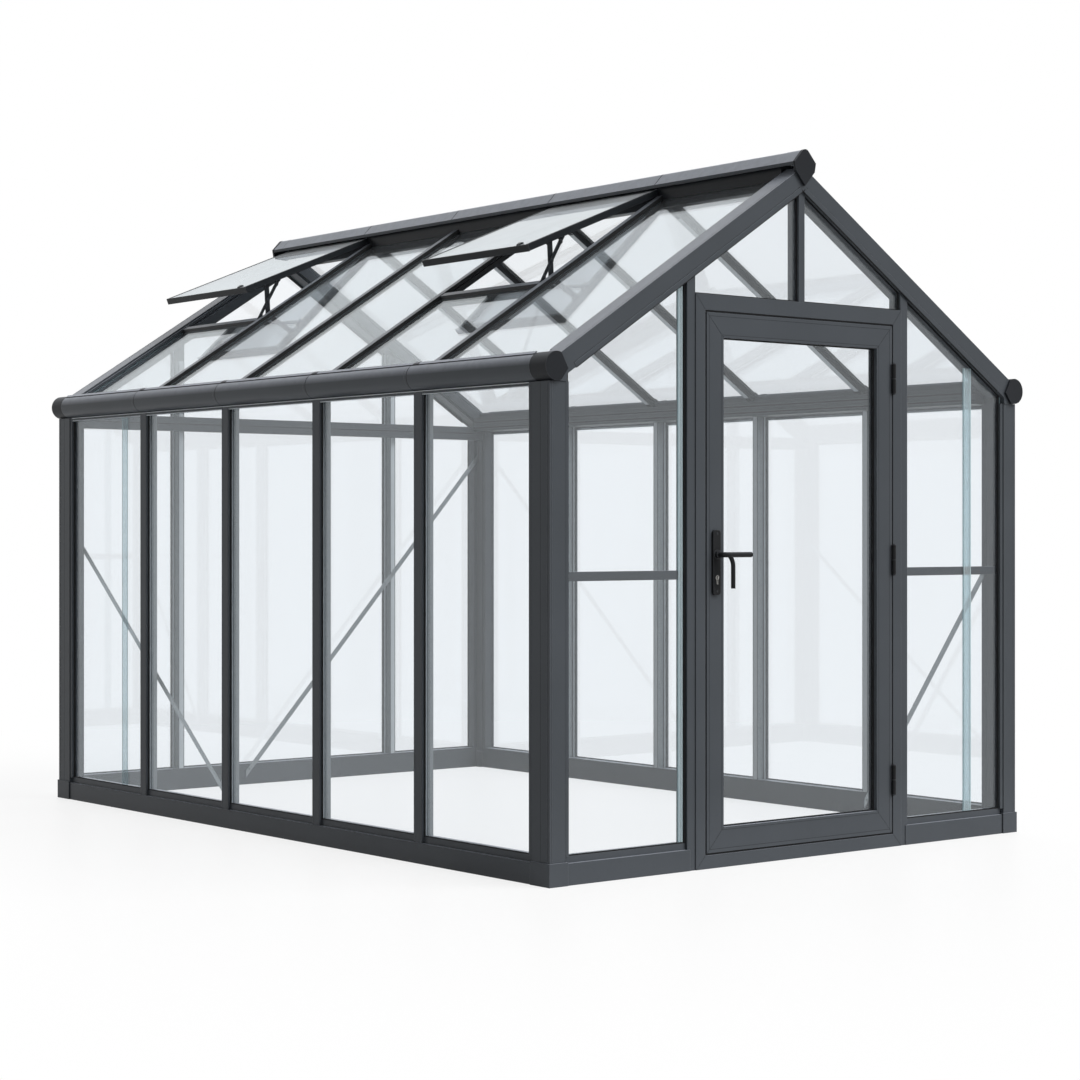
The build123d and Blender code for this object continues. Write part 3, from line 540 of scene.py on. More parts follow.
# the roof's and vents' films are partly a painted veil of mirrored sky, the vents' most of all
upright_film, roof_dust_and_veil, vent_dust_and_veil = 0.004, 0.05, 0.72
wall_glass = pane_glass("toughened_glass_walls", (1, 0, 0), upright_film)
coat(wall_glass, "glass_left_wall", "glass_right_wall")
gable_glass = pane_glass("toughened_glass_gables", (0, 1, 0), upright_film)
coat(gable_glass, "glass_back_gable", "glass_front_sides", "glass_over_door", "door_glass")
roof_glass = pane_glass("toughened_glass_roof", (0, 0, 1), roof_dust_and_veil)
coat(roof_glass, "glass_roof_left", "glass_roof_right")
vent_pane = pane_glass("toughened_glass_vents", (0, 0, 1), vent_dust_and_veil)
coat(vent_pane, "vent_glass")

# ---- Rubber seals of the walls and gables --------------------------------------------
# Each pane is held dry between black rubber lips, which show as a narrow dark line all
# round the opening, outside and inside.
pitch = 32.6
roof_slope = math.tan(math.radians(pitch))
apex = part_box("rafters_front")[1].z + roof_slope * 0.0005
rafter_thick = 0.075
rafter_deep = rafter_thick / math.cos(math.radians(pitch))
post_lip = 1.109
door_post_edge = 0.568
frame_half = 0.530
stud_half = 0.015
lip_shown = 0.005
lip_hidden = 0.004
lip_proud = (0.0001, 0.0038)


def under_roof(across, deep=rafter_deep):
    """Height of the roof at a distance from the middle, that far below its top line."""
    return apex - roof_slope * abs(across) - deep


def moved(corners, out):
    """A flat outline with each side moved outwards; its corners run anticlockwise."""
    count = len(corners)
    lines = []
    for at in range(count):
        a, b = Vector(corners[at]), Vector(corners[(at + 1) % count])
        run = (b - a).normalized()
        lines.append((a + Vector((run.y, -run.x)) * out, run))
    made = []
    for at in range(count):
        (a, run_a), (b, run_b) = lines[at - 1], lines[at]
        gap = b - a
        along = (gap.x * run_b.y - gap.y * run_b.x) / (run_a.x * run_b.y - run_a.y * run_b.x)
        made.append(a + run_a * along)
    return made


def ring(mesh, corners, outwards, inwards, origin, right, up, near, far):
    """Adds a mitred strip round a flat outline, from near to far along its normal."""
    right, up, origin = Vector(right), Vector(up), Vector(origin)
    normal = right.cross(up)
    rings = []
    for out in (outwards, -inwards):
        for deep in (near, far):
            flat = moved(corners, out)
            rings.append([mesh.verts.new(origin + right * a.x + up * a.y + normal * deep) for a in flat])
    count = len(corners)
    for at in range(count):
        after = (at + 1) % count
        for first, second in ((0, 1), (1, 3), (3, 2), (2, 0)):
            mesh.faces.new((rings[first][at], rings[first][after], rings[second][after], rings[second][at]))


mesh = bmesh.new()
corner_lip = 0.121
wall_edges = [-half_length + corner_lip] + bar_places + [half_length - corner_lip]
for side in (-1, 1):
    for number in range(5):
        start = wall_edges[number] + (cap_half if number else 0)
        stop = wall_edges[number + 1] - (cap_half if number < 4 else 0)
        corners = oblong(start, stop, rail_top, post_top)
        if side < 0:
            corners = [(-along, z) for along, z in reversed(corners)]
        place = (side * (half_width - glass_front), 0, 0)
        ring(mesh, corners, lip_hidden, lip_shown, place, (0, side, 0), (0, 0, 1), *lip_proud)


def gable_pane(low, high, foot):
    """The outline of a gable's pane between two places, from its foot to the rafters."""
    return [(low, foot), (high, foot), (high, under_roof(high)), (low, under_roof(low))]


over_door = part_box("gable_centre_stud")[0].z
front_panes = []
for side in (-1, 1):
    front_panes.append(gable_pane(*sorted((side * door_post_edge, side * post_lip)), rail_top))
    front_panes.append(gable_pane(*sorted((side * stud_half, side * frame_half)), over_door))
for corners in front_panes:
    place = (0, -half_length + glass_front, 0)
    ring(mesh, corners, lip_hidden, lip_shown, place, (1, 0, 0), (0, 0, 1), *lip_proud)
near_stud, past_stud = stud_middle - cap_half, stud_middle + cap_half
back_panes = [gable_pane(-post_lip, -past_stud, rail_top), gable_pane(-near_stud, near_stud, rail_top)]
back_panes[1].insert(3, (0, under_roof(0)))
back_panes.append(gable_pane(past_stud, post_lip, rail_top))
for corners in back_panes:
    corners = [(-across, z) for across, z in reversed(corners)]
    place = (0, half_length - glass_front, 0)
    ring(mesh, corners, lip_hidden, lip_shown, place, (-1, 0, 0), (0, 0, 1), *lip_proud)
piece("glazing_seals", mesh, rubber, "house", 0)

# broad rubber flaps beside the door posts, proud of the glass
mesh = bmesh.new()
flap_wide = 0.008
flap_proud = 0.005
flap_start = door_post_edge + 0.0002
flap_top = under_roof(0.584)
flap_y = -half_length + glass_front
for side in (-1, 1):
    x = sorted((side * flap_start, side * (flap_start + flap_wide)))
    strip(mesh, (x[0], flap_y - flap_proud, rail_top), (x[1], flap_y, flap_top))
piece("door_post_flaps", mesh, rubber, "house", 0.001)

# ---- Clear strips --------------------------------------------------------------------
# Extruded PVC. Milky wedges press the glass against its seals from inside, and clear
# strips join the panes that are made of two sheets and edge the one beside the door.

# Clear extruded PVC: most light goes through, and it has a soft gloss with faint lines
# along it.
clear_pvc, tree, output, lines, shade = clouded("extruded_clear_pvc", "#e2ecef", "#ebf2f4", 0.008, 2.0, 0.01)
through = add_node(tree, "ShaderNodeBsdfTransparent", {}, {"Color": shade})
glossy = skin(tree, shade, lines, {"Roughness": 0.22, "IOR": 1.53}, depth=0.0003)
whole = add_node(tree, "ShaderNodeMixShader", {0: 0.22}, {1: through.outputs["BSDF"], 2: glossy})
tree.links.new(whole.outputs["Shader"], output.inputs["Surface"])

# The thick edges of those strips gather the colour of the PVC: a greyer teal, half clear.
edge_pvc, tree, output, lines, shade = clouded(
    "extruded_teal_pvc_edges", "#c3d5d9", "#d3e1e5", 0.004, 2.0, 0.01
)
through = add_node(tree, "ShaderNodeBsdfTransparent", {}, {"Color": shade})
glossy = skin(tree, shade, None, {"Roughness": 0.22, "IOR": 1.53})
whole = add_node(tree, "ShaderNodeMixShader", {0: 0.5}, {1: through.outputs["BSDF"], 2: glossy})
tree.links.new(whole.outputs["Shader"], output.inputs["Surface"])

# The inside wedges are of soft milky PVC: smooth, pale, and lit through from outside.
milky_pvc, tree, output, lines, shade = clouded("milky_pvc", "#dde4e7", "#edf1f3", 0.006, 2.0, 0.01)
lit = add_node(tree, "ShaderNodeBsdfTranslucent", {}, {"Color": shade})
smooth = skin(tree, shade, lines, {"Roughness": 0.35, "IOR": 1.53})
whole = add_node(tree, "ShaderNodeMixShader", {0: 0.5}, {1: lit.outputs["BSDF"], 2: smooth})
tree.links.new(whole.outputs["Shader"], output.inputs["Surface"])

box_side = 0.0152
wedge_line = 0.0016
wedge_wide = 0.0075
wedge_deep = 0.004
wedge_top = post_top - 0.002
mesh = bmesh.new()
lines = bmesh.new()
for side in (-1, 1):
    x = sorted((side * (half_width - glass_back - wedge_deep), side * (half_width - glass_back)))
    for place in bar_places:
        for hand in (-1, 1):
            y = sorted(place + hand * (box_side + wedge_line + add) for add in (0, wedge_wide))
            strip(mesh, (x[0], y[0], rail_top), (x[1], y[1], wedge_top))
            # a thin dark strip between each wedge and the box: painted shade in the gap
            y = sorted(place + hand * (box_side + add) for add in (0, wedge_line))
            strip(lines, (x[0], y[0], rail_top), (x[1], y[1], wedge_top))
    y = sorted((half_length - glass_back - wedge_deep, half_length - glass_back))
    for hand in (-1, 1):
        x = sorted(side * stud_middle + hand * (box_side + wedge_line + add) for add in (0, wedge_wide))
        strip(mesh, (x[0], y[0], rail_top), (x[1], y[1], under_roof(max(abs(x[0]), abs(x[1])))))
piece("inner_glazing_wedges", mesh, milky_pvc, "house", 0.0006)
piece("inner_glazing_shade_lines", lines, rubber, "house", 0)

mesh = bmesh.new()
edges = bmesh.new()
join_thick = 0.0012
join_gap = 0.004
join_foot = rail_top + join_gap
wall_join = (1.156, 1.204)
gable_joins = ((0.906, 0.949), (-0.5985, -0.5785))
edge_wide = 0.006
edge_gap = 0.0005


def join_parts(low, high):
    """The two edges and the middle of a joint strip between two places."""
    yield edges, low, low + edge_wide
    yield edges, high - edge_wide, high
    yield mesh, low + edge_wide + edge_gap, high - edge_wide - edge_gap


outside = -half_width + glass_front
for made, start, stop in join_parts(*wall_join):
    strip(made, (outside - join_thick, start, join_foot), (outside, stop, post_top - join_gap))
for near in (glass_front - join_thick, glass_back):
    y = -half_length + near
    for low, high in gable_joins:
        tall = under_roof(max(abs(low), abs(high))) - 0.003
        for made, start, stop in join_parts(low, high):
            strip(made, (start, y, join_foot), (stop, y + join_thick, tall))
piece("clear_joint_strips", mesh, clear_pvc, "house", 0.0004)
piece("clear_joint_edges", edges, edge_pvc, "house", 0.0004)

# ---- Gutters and eaves ---------------------------------------------------------------
# Half-round extruded gutters in five lengths, joined by sleeves at the bars, on eaves
# beams, with moulded nylon end caps. A flange along the lip carries the roof glass, and a
# drip strip holds the wall glass below.
coat(anthracite, "eaves_beams")
# The same coat where it lies most open to the weather, its upper sides paled more: partly dust, partly a
# painted highlight of the light from above.
gutter_coat = sprayed("weathered_top_lit_powder_coated_aluminium", coat_dark, coat_light, 0.3, 0.0004, 0.95)
coat(gutter_coat, "gutter_left", "gutter_right")
# Moulded nylon: nearly black, duller than the coat, with a fine mould grain.
nylon = sprayed("moulded_black_nylon", "#1b1d20", "#24262a", 0.45, 0.0003, 0.12)
coat(nylon, "gutter_end_caps")
gutter_low, gutter_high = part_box("gutter_left")
gutter_radius = 0.050
gutter_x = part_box("gutter_end_caps")[1].x - gutter_radius
gutter_z = gutter_low.z + gutter_radius
gutter_end = gutter_high.y
sleeve_at = 0.030
sleeve_wide = 0.014
near_seam, far_seam = 0.0034, 0.0008
skin_start, skin_turn, skin_steps = -88, 142, 24
skin_thick = 0.003


def gutter_skin(mesh, side, start, stop, proud):
    """Adds a curved strip round the outside of a gutter between two places."""
    angles = [math.radians(skin_start + step * skin_turn / skin_steps) for step in range(skin_steps + 1)]
    outer, inner = gutter_radius + proud, gutter_radius - skin_thick
    outline = [(math.cos(turn) * outer, math.sin(turn) * outer) for turn in angles]
    outline += [(math.cos(turn) * inner, math.sin(turn) * inner) for turn in reversed(angles)]
    middle_x = side * gutter_x
    bar(mesh, outline, (middle_x, start, gutter_z), (middle_x, stop, gutter_z), (side, 0, 0), (0, 0, 1))


sleeves = bmesh.new()
seams = bmesh.new()
for side in (-1, 1):
    for place in bar_places:
        start = place + sleeve_at
        gutter_skin(sleeves, side, start, start + sleeve_wide, 0.0003)
        gutter_skin(seams, side, start - near_seam, start, 0.0002)
        gutter_skin(seams, side, start + sleeve_wide, start + sleeve_wide + far_seam, 0.0002)
piece("gutter_sleeves", sleeves, gutter_coat, "house", 0)
piece("gutter_seams", seams, rubber, "house", 0)

# a flange clipped along the gutter's lip, its top paled by dust and painted highlight, over a black line of
# rubber
lip_x = gutter_x + gutter_radius * math.cos(math.radians(55))
lip_z = gutter_z + gutter_radius * math.sin(math.radians(55))
flange_shape = ((-0.0002, 0.003), (-0.0125, 0.0125), (-0.0145, 0.0125), (-0.0145, 0.0105), (-0.010, 0.003))
line_shape = ((0.0, -0.0005), (0.0006, 0.0), (0.0004, 0.003), (-0.009, 0.003), (-0.009, -0.0005))
flange = bmesh.new()
line = bmesh.new()
for side in (-1, 1):
    start, stop = (side * lip_x, -gutter_end, lip_z), (side * lip_x, gutter_end, lip_z)
    bar(flange, flange_shape, start, stop, (side, 0, 0), (0, 0, 1))
    bar(line, line_shape, start, stop, (side, 0, 0), (0, 0, 1))
piece("gutter_flanges", flange, gutter_coat, "house", 0.0006)
piece("gutter_lip_seals", line, rubber, "house", 0)

# drip strip over the top of the wall glass: a coated rib between two milky lips, with a
# dark line of rubber above it, each given by its distance under the beam, its height and
# how far it stands proud. The lips' pale is partly a painted highlight along the strip.
ribs_of_coat = bmesh.new()
pale_lips_and_highlight = bmesh.new()
lines = bmesh.new()
for side in (-1, 1):
    for mesh, high, tall, proud in (
        (pale_lips_and_highlight, 0.0002, 0.0034, 0.0010),
        (lines, 0.0036, 0.0024, -0.0020),
        (ribs_of_coat, 0.0060, 0.0060, 0.0),
        (pale_lips_and_highlight, 0.0121, 0.0022, -0.0010),
    ):
        x = sorted((side * (half_width - cap_front - 0.0005 + proud), side * (half_width - cap_back)))
        strip(
            mesh,
            (x[0], -half_length + corner_lip, post_top - high - tall),
            (x[1], half_length - corner_lip, post_top - high),
        )
piece("eaves_drip_strips", ribs_of_coat, anthracite, "house", 0.0012)
piece("eaves_drip_lips_and_highlight", pale_lips_and_highlight, milky_pvc, "house", 0.0005)
piece("eaves_drip_seals", lines, rubber, "house", 0)

# slots along the inside of the eaves beams and the tie rail, each a strip of painted shade between raised
# lips
beam_low, beam_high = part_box("eaves_beams")
tie_low, tie_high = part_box("back_tie_rail")
beam_inside = beam_high.x - 0.050
slot_gap = 0.002
tie_slot_half = 1.07
for side in (-1, 1):
    for above in (0.016, 0.044):
        at = (side * beam_inside, beam_low.y + slot_gap, beam_low.z + above)
        to = (side * beam_inside, beam_high.y - slot_gap, beam_low.z + above)
        bolt_slot(slot_shade_strips, lips, at, to, (0, 0, 1), (-side, 0, 0))
middle = (tie_low.z + tie_high.z) / 2
start, stop = (-tie_slot_half, tie_low.y, middle), (tie_slot_half, tie_low.y, middle)
bolt_slot(slot_shade_strips, lips, start, stop, (0, 0, 1), (0, -1, 0))
piece("bolt_slot_shade", slot_shade_strips, rubber, "house", 0)
piece("bolt_slot_lips", lips, anthracite, "house", 0.0003)

# ---- Roof bars, rafters and ridge ----------------------------------------------------
# Extruded rafters at the gables, narrower glazing bars between them, and a ridge board
# under its cap. A separate bead runs along each rafter's lower edge, between two thin
# black strips that are painted shadow lines.
coat(anthracite, "rafters_front", "rafters_back")
coat(gutter_coat, "ridge_cap")
# A smoother black coat on the ridge board and the vents, with hardly any dust or painted top highlight.
black_coat = sprayed("black_coated_aluminium", "#1b1d20", "#25282b", 0.3, 0.0003, 0.06)
coat(black_coat, "ridge_beam")
# The same black on the roof's bars, paled where it faces up by dust and by a painted highlight of the light
# from above. Its black, darker than the walls' coat, is partly a painted shade of the bars' sides.
top_lit_dusty_black_coat = sprayed("top_lit_dusty_black_coated_aluminium", "#1b1d20", "#25282b", 0.3, 0.0003, 0.5)
coat(top_lit_dusty_black_coat, "roof_bars_left", "roof_bars_right")
coat(nylon, "ridge_end_caps")
cosine = math.cos(math.radians(pitch))
sine = math.sin(math.radians(pitch))


def slope_bar(mesh, side, outer, inner, along, outline):
    """Adds a bar down one slope between two distances from the middle. Its outline is
    given along the house from its place, and inwards from the top of the roof."""
    start = (side * outer, along, under_roof(outer, 0))
    end = (side * inner, along, under_roof(inner, 0))
    bar(mesh, outline, start, end, (0, 1, 0), (-side * sine, 0, -cosine))


rafter_foot = 1.1238
rafter_head = 0.046
lower_head = 0.020
bead_top = rafter_thick - 0.0172
bead_foot = rafter_thick + 0.0002
mesh = bmesh.new()
line = bmesh.new()
for end in (-1, 1):
    y = end * half_length
    near, bead_out, line_out = -end * 0.004, end * 0.0014, end * 0.0006
    for side in (-1, 1):
        slope_bar(mesh, side, rafter_foot, rafter_head, y, oblong(near, bead_out, bead_top, bead_foot))
        # the dark lines beside the bead: painted shadow lines
        outline = oblong(near, line_out, bead_top - 0.0012, bead_top)
        slope_bar(line, side, rafter_foot, rafter_head, y, outline)
        outline = oblong(near, line_out, bead_foot, bead_foot + 0.0033)
        slope_bar(line, side, rafter_foot, lower_head, y, outline)
piece("rafter_beads", mesh, anthracite, "house", 0.0005)
piece("rafter_shadow_lines", line, rubber, "house", 0)

# rubber lips beside the caps of the roof's bars, which also cover the caps' sides as a
# painted shade, and gaskets beside the boxes under the glass, each given across from the
# bar's middle and down from the top of the roof
cap_foot = 1.168
box_foot = 1.108
bar_head = 0.027
seal_and_side_shade_shape = ((0.0150, 0.0095), (0.0175, 0.0100), (0.0205, 0.0218), (0.0120, 0.0218))
seal_and_side_shade_shape += ((0.0120, 0.0182), (0.0150, 0.0182))
gasket_shape = ((0.0148, 0.0262), (0.0185, 0.0262), (0.0165, 0.0375), (0.0148, 0.0380))
for name, foot, shape in (
    ("roof_bar_seals_and_side_shade", cap_foot, seal_and_side_shade_shape),
    ("roof_bar_gaskets", box_foot, gasket_shape),
):
    mesh = bmesh.new()
    for side in (-1, 1):
        for place in bar_places:
            for hand in (-1, 1):
                outline = [(hand * across, down) for across, down in shape]
                slope_bar(mesh, side, foot, bar_head, place, outline)
    piece(name, mesh, rubber, "house", 0)

# the same pale capping under the bars
mesh = bmesh.new()
for side in (-1, 1):
    for place in bar_places:
        slope_bar(mesh, side, box_foot, 0.026, place, capping(0.0125, 0.0476, 0.0492))
piece("roof_bar_cappings", mesh, grey_pvc, "house", 0.0002)

# moulded feet that close the bars' lower ends and clip over the gutter's flange
foot_half = 0.0185
foot_start = 1.120
foot_shape = [(foot_start, under_roof(foot_start, 0.0060)), (cap_foot, under_roof(cap_foot, 0.0060))]
foot_shape += [(1.186, lip_z + 0.0145), (1.2015, lip_z + 0.0055), (1.2035, lip_z + 0.0015)]
foot_shape += [(1.1935, lip_z + 0.0015), (cap_foot, under_roof(cap_foot, 0.020))]
foot_shape += [(foot_start, under_roof(foot_start, 0.0095))]
mesh = bmesh.new()
for side in (-1, 1):
    for place in bar_places:
        start, stop = (0, place - foot_half, 0), (0, place + foot_half, 0)
        bar(mesh, foot_shape, start, stop, (side, 0, 0), (0, 0, 1))
piece("roof_bar_feet", mesh, nylon, "house", 0.001)

# a groove along the top of each rafter, beside its gable face, drawn as a thin dark strip of painted shade
groove_half = 0.0007
groove_from_gable = 0.012
mesh = bmesh.new()
for end in (-1, 1):
    for side in (-1, 1):
        y = end * (half_length - groove_from_gable)
        slope_bar(mesh, side, foot_start, 0.045, y, oblong(-groove_half, groove_half, -0.0002, 0.001))
piece("rafter_groove_shade", mesh, rubber, "house", 0)


turn_sides = 16


def turned(mesh, at, out, rows, ends=True):
    """Adds a turned form standing on a surface: rows of radius and height along out."""
    out = Vector(out).normalized()
    right = out.orthogonal().normalized()
    up = out.cross(right)
    turns = [math.tau * step / turn_sides for step in range(turn_sides)]
    made = []
    for radius, high in rows:
        flat = [right * math.cos(turn) + up * math.sin(turn) for turn in turns]
        made.append([mesh.verts.new(Vector(at) + spoke * radius + out * high) for spoke in flat])
    for lower, upper in zip(made, made[1:]):
        for step in range(turn_sides):
            after = (step + 1) % turn_sides
            mesh.faces.new((lower[step], lower[after], upper[after], upper[step]))
    if ends:
        mesh.faces.new(made[0])
        mesh.faces.new(made[-1])


def screw_head(mesh, at, out, radius, high):
    """Adds a domed screw head with a socket in its top."""
    rows = ((1.0, -0.2), (1.0, 0.35), (0.86, 0.8), (0.5, 1.0), (0.36, 1.0), (0.30, 0.35))
    turned(mesh, at, out, [(radius * wide, high * rise) for wide, rise in rows])


def along_house(mesh, outline, start, stop, height=0.0):
    """Adds a bar along the house. Its outline is given across and above a height."""
    bar(mesh, outline, (0, start, height), (0, stop, height), (1, 0, 0), (0, 0, 1))


# cleats that bolt each pair of roof bars together under the ridge board
cleat_half = 0.012
cleat_reach = 0.075
cleat_thick = 0.003
cleat_bolt = 0.055
web_under = 0.048 / cosine
mesh = bmesh.new()
bolts = bmesh.new()
for place in bar_places:
    upper = [(across, under_roof(across, web_under)) for across in (-cleat_reach, -0.025, 0.025, cleat_reach)]
    outline = upper + [(across, height - cleat_thick) for across, height in reversed(upper)]
    along_house(mesh, outline, place - cleat_half, place + cleat_half)
    for side in (-1, 1):
        spot = (side * cleat_bolt, place, under_roof(cleat_bolt, web_under) - cleat_thick)
        screw_head(bolts, spot, (-side * sine, 0, -cosine), 0.006, 0.004)
piece("ridge_cleats", mesh, anthracite, "house", 0.0005)

# ---- Ridge cap details ---------------------------------------------------------------
# The extruded cap comes in five coated lengths, butted over the bars with rubber between
# them, and a sleeve of the same section is pushed over each end.
ridge_low, ridge_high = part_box("ridge_cap")
ridge_half = ridge_high.x
ridge_foot = ridge_high.z - 0.046
ridge_skirt = ridge_foot - ridge_low.z
crest_half = 0.016
crest_foot = 0.038
crest_radius = 0.02
crest_middle = 0.026


def crown(grow):
    """Upper edge of the ridge cap, grown outwards."""
    slant = grow * 0.7
    made = [(-ridge_half - grow, 0.0), (-crest_half - slant, crest_foot + slant)]
    for step in range(1, 6):
        across = -crest_half + 2 * crest_half * step / 6
        made.append((across, math.sqrt(crest_radius ** 2 - across ** 2) + crest_middle + grow))
    made += [(crest_half + slant, crest_foot + slant), (ridge_half + grow, 0.0)]
    return made


seam_half = 0.002
seam_thick = 0.003
mesh = bmesh.new()
for place in bar_places:
    outline = crown(0.0004) + [(ridge_half - seam_thick, 0.0), (-ridge_half + seam_thick, 0.0)]
    along_house(mesh, outline, place - seam_half, place + seam_half, ridge_foot)
piece("ridge_cap_seams", mesh, rubber, "house", 0)

sleeve_long = 0.075
sleeve_proud = 0.0008
sleeve_out, sleeve_in = ridge_half + sleeve_proud, ridge_half - 0.004
outline = crown(sleeve_proud) + [(sleeve_out, -ridge_skirt), (sleeve_in, -ridge_skirt), (sleeve_in, 0.002)]
outline += [(-sleeve_in, 0.002), (-sleeve_in, -ridge_skirt), (-sleeve_out, -ridge_skirt)]
mesh = bmesh.new()
for end in (-1, 1):
    along_house(mesh, outline, end * (half_length - sleeve_long), end * (half_length - 0.0005), ridge_foot)
piece("ridge_cap_sleeves", mesh, gutter_coat, "house", 0.0004)

# ---- Roof vents ----------------------------------------------------------------------
# Two top-hung windows in black coated frames, with a rubber bulb seal that closes on to a
# slam bar. They are held open by black scissor stays, whose arms pivot on bolts.
coat(black_coat, "vent_stiles", "vent_rails", "vent_stay_tracks", "vent_stays")
coat(top_lit_dusty_black_coat, "vent_slam_bars")
vent_open = 10.5
vent_lean = math.radians(pitch - vent_open)
vent_hinge = 0.025
vent_long = 0.700
vent_under = 0.002
roof_cap_half = 0.015
vent_bays = (
    (bar_places[0] + roof_cap_half, bar_places[1] - roof_cap_half),
    (bar_places[3] + roof_cap_half, half_length - 0.102),
)


def vent_spot(along, up):
    """A point of an open vent in the plane across the house."""
    across = vent_hinge + along * math.cos(vent_lean) + up * math.sin(vent_lean)
    hinge_z = under_roof(vent_hinge, 0.008 / cosine)
    return -across, hinge_z - along * math.sin(vent_lean) + up * math.cos(vent_lean)


def vent_bar(mesh, points, start, stop):
    """Adds a bar along the house on an open vent, its outline given in the vent's plane."""
    along_house(mesh, [vent_spot(along, up) for along, up in points], start, stop)


rubbers = bmesh.new()
drips = bmesh.new()
pivots = bmesh.new()
brackets = bmesh.new()
slam_outer = vent_hinge + vent_long * cosine
seal_inside = 0.005
lip_end = vent_long + 0.003
drip_shape = ((vent_long + 0.0002, 0.001), (lip_end, -0.001), (lip_end, 0.0265), (vent_long - 0.005, 0.0265))
drip_shape += ((vent_long + 0.0002, 0.0255),)
latch_shape = ((vent_long - 0.030, 0.0262), (vent_long - 0.006, 0.0262), (vent_long - 0.006, 0.0300))
latch_shape += ((vent_long - 0.022, 0.0335), (vent_long - 0.030, 0.0300))
bracket_shape = ((-0.020, 0.0018), (0.020, 0.0018), (0.013, -0.010), (-0.013, -0.010))
pivot_radius = 0.0085
arms_cross = 0.46
for start, stop in vent_bays:
    x, z = vent_spot(0, vent_under)
    down = (-math.cos(vent_lean), 0, -math.sin(vent_lean))
    corners = oblong(start + seal_inside, stop - seal_inside, 0.035, vent_long - 0.016)
    ring(rubbers, corners, 0.003, 0.004, (x, 0, z), (0, 1, 0), down, -0.004, 0.0)
    # a drip lip along the lower edge, a little longer than the vent
    vent_bar(drips, drip_shape, start - 0.016, stop + 0.024)
    # thin channels over the glass's two side edges
    for near, far in ((start - 0.010, start + 0.001), (stop - 0.001, stop + 0.010)):
        vent_bar(drips, oblong(0.045, vent_long - 0.002, 0.0250, 0.0275), near, far)
    # a small latch bracket on top of the lower edge
    vent_bar(brackets, latch_shape, start + 0.045, start + 0.063)
    # the stay's pivots: where the arms cross, and at their feet and heads
    first, second = start + 0.0015, start + 0.0135
    foot_x, head_x = slam_outer - 0.011, slam_outer - 0.115
    foot_z = under_roof(foot_x, 0.010 / cosine)
    head_z = vent_spot((head_x - vent_hinge) / math.cos(vent_lean), 0.0)[1]
    for share in (0.10, arms_cross, 0.88):
        x = -(foot_x + (head_x - foot_x) * share)
        z = foot_z + (head_z - foot_z) * share
        screw_head(pivots, (x, first, z), (0, -1, 0), pivot_radius, 0.0035)
        if share == arms_cross:
            screw_head(pivots, (x, second, z), (0, 1, 0), pivot_radius, 0.004)
    # brackets that carry the heads of the arms under the vent
    for across in (head_x, head_x + 0.059):
        along = (across - vent_hinge) / math.cos(vent_lean)
        shape = [(along + add, up) for add, up in bracket_shape]
        vent_bar(brackets, shape, second + 0.0005, second + 0.0035)
piece("vent_bulb_seals", rubbers, rubber, "house", 0.001)
piece("vent_drip_lips", drips, black_coat, "house", 0.0006)
piece("vent_stay_pivots", pivots, black_coat, "house", 0)
piece("vent_stay_brackets", brackets, black_coat, "house", 0.0005)

# ---- Gables and wind braces ----------------------------------------------------------
# Studs and rails of the same coated extrusion. The braces are flat strips of mill finish
# aluminium, rolled with fine lines along them, bolted inside the bars.
coat(anthracite, "back_gable_studs", "back_tie_rail", "door_posts", "gable_centre_stud", "front_mid_rails")

# Mill finish aluminium: a soft grey metal, dulled in clouds, with fine rolling marks.
mill, tree, output, cloud, shade = clouded("mill_finish_aluminium", "#868c90", "#969b9e", 0.12, 4.0)
shader = skin(tree, shade, (0.004, 2.0), {"Metallic": 1.0}, (cloud, 0.38, 0.52), strength=0.15)
tree.links.new(shader, output.inputs["Surface"])
coat(mill, "wind_braces")

# each wall's brace: its inner face, its head, its foot along the wall, and its bolts
brace_in = wall_inside - 0.003
brace_foot = 0.050
bolt_size = (0.0065, 0.0045)
for x, out, ends, foot_y, shares in (
    (-brace_in, (1, 0, 0), (half_length - 0.105, 1.130), bar_places[2], (0.01, 0.4977, 0.99)),
    (brace_in, (-1, 0, 0), (-half_length + 0.105, 1.044), bar_places[0], (0.02, 0.985)),
):
    for share in shares:
        spot = (x, ends[0] + (foot_y - ends[0]) * share, ends[1] + (brace_foot - ends[1]) * share)
        screw_head(bolts, spot, out, *bolt_size)
# the back gable's brace runs from its right corner down to the left
back_head, back_foot = Vector((1.125, 1.570)), Vector((-0.250, brace_foot))
for share in (0.015, 0.3818, 0.985):
    across, height = back_head.lerp(back_foot, share)
    spot = (across, half_length - web_back - 0.003, height)
    screw_head(bolts, spot, (0, -1, 0), *bolt_size)
mid_rail_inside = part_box("front_mid_rails")[1].y
for side in (-1, 1):
    for across in (0.586, 1.080):
        screw_head(bolts, (side * across, mid_rail_inside, 1.044), (0, 1, 0), 0.005, 0.003)
piece("frame_bolts", bolts, mill, "house", 0)

# ---- Door frame and leaf -------------------------------------------------------------
# A mitred aluminium frame and leaf. The mitres are glued and show as hair lines, a fine
# groove runs round both, drawn as a thin dark strip of painted shade, and black rubber
# closes the gap and holds the glass.
coat(anthracite, "door_jambs", "door_head", "door_sill", "door_stiles", "door_rails")
face_y = -half_length + 0.004
leaf_low, leaf_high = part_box("door_stiles")
glass_low, glass_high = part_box("door_glass")
frame_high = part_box("door_jambs")[1]
leaf_clear = 0.007
opening_half = 0.485
leaf_outline = oblong(leaf_low.x, leaf_high.x, leaf_low.z, leaf_high.z)
glass_outline = oblong(glass_low.x, glass_high.x, glass_low.z, glass_high.z)
gap_outline = oblong(-opening_half, opening_half, leaf_low.z - leaf_clear, leaf_high.z + leaf_clear)
frame_outline = oblong(-frame_half, frame_half, 0.0, frame_high.z)
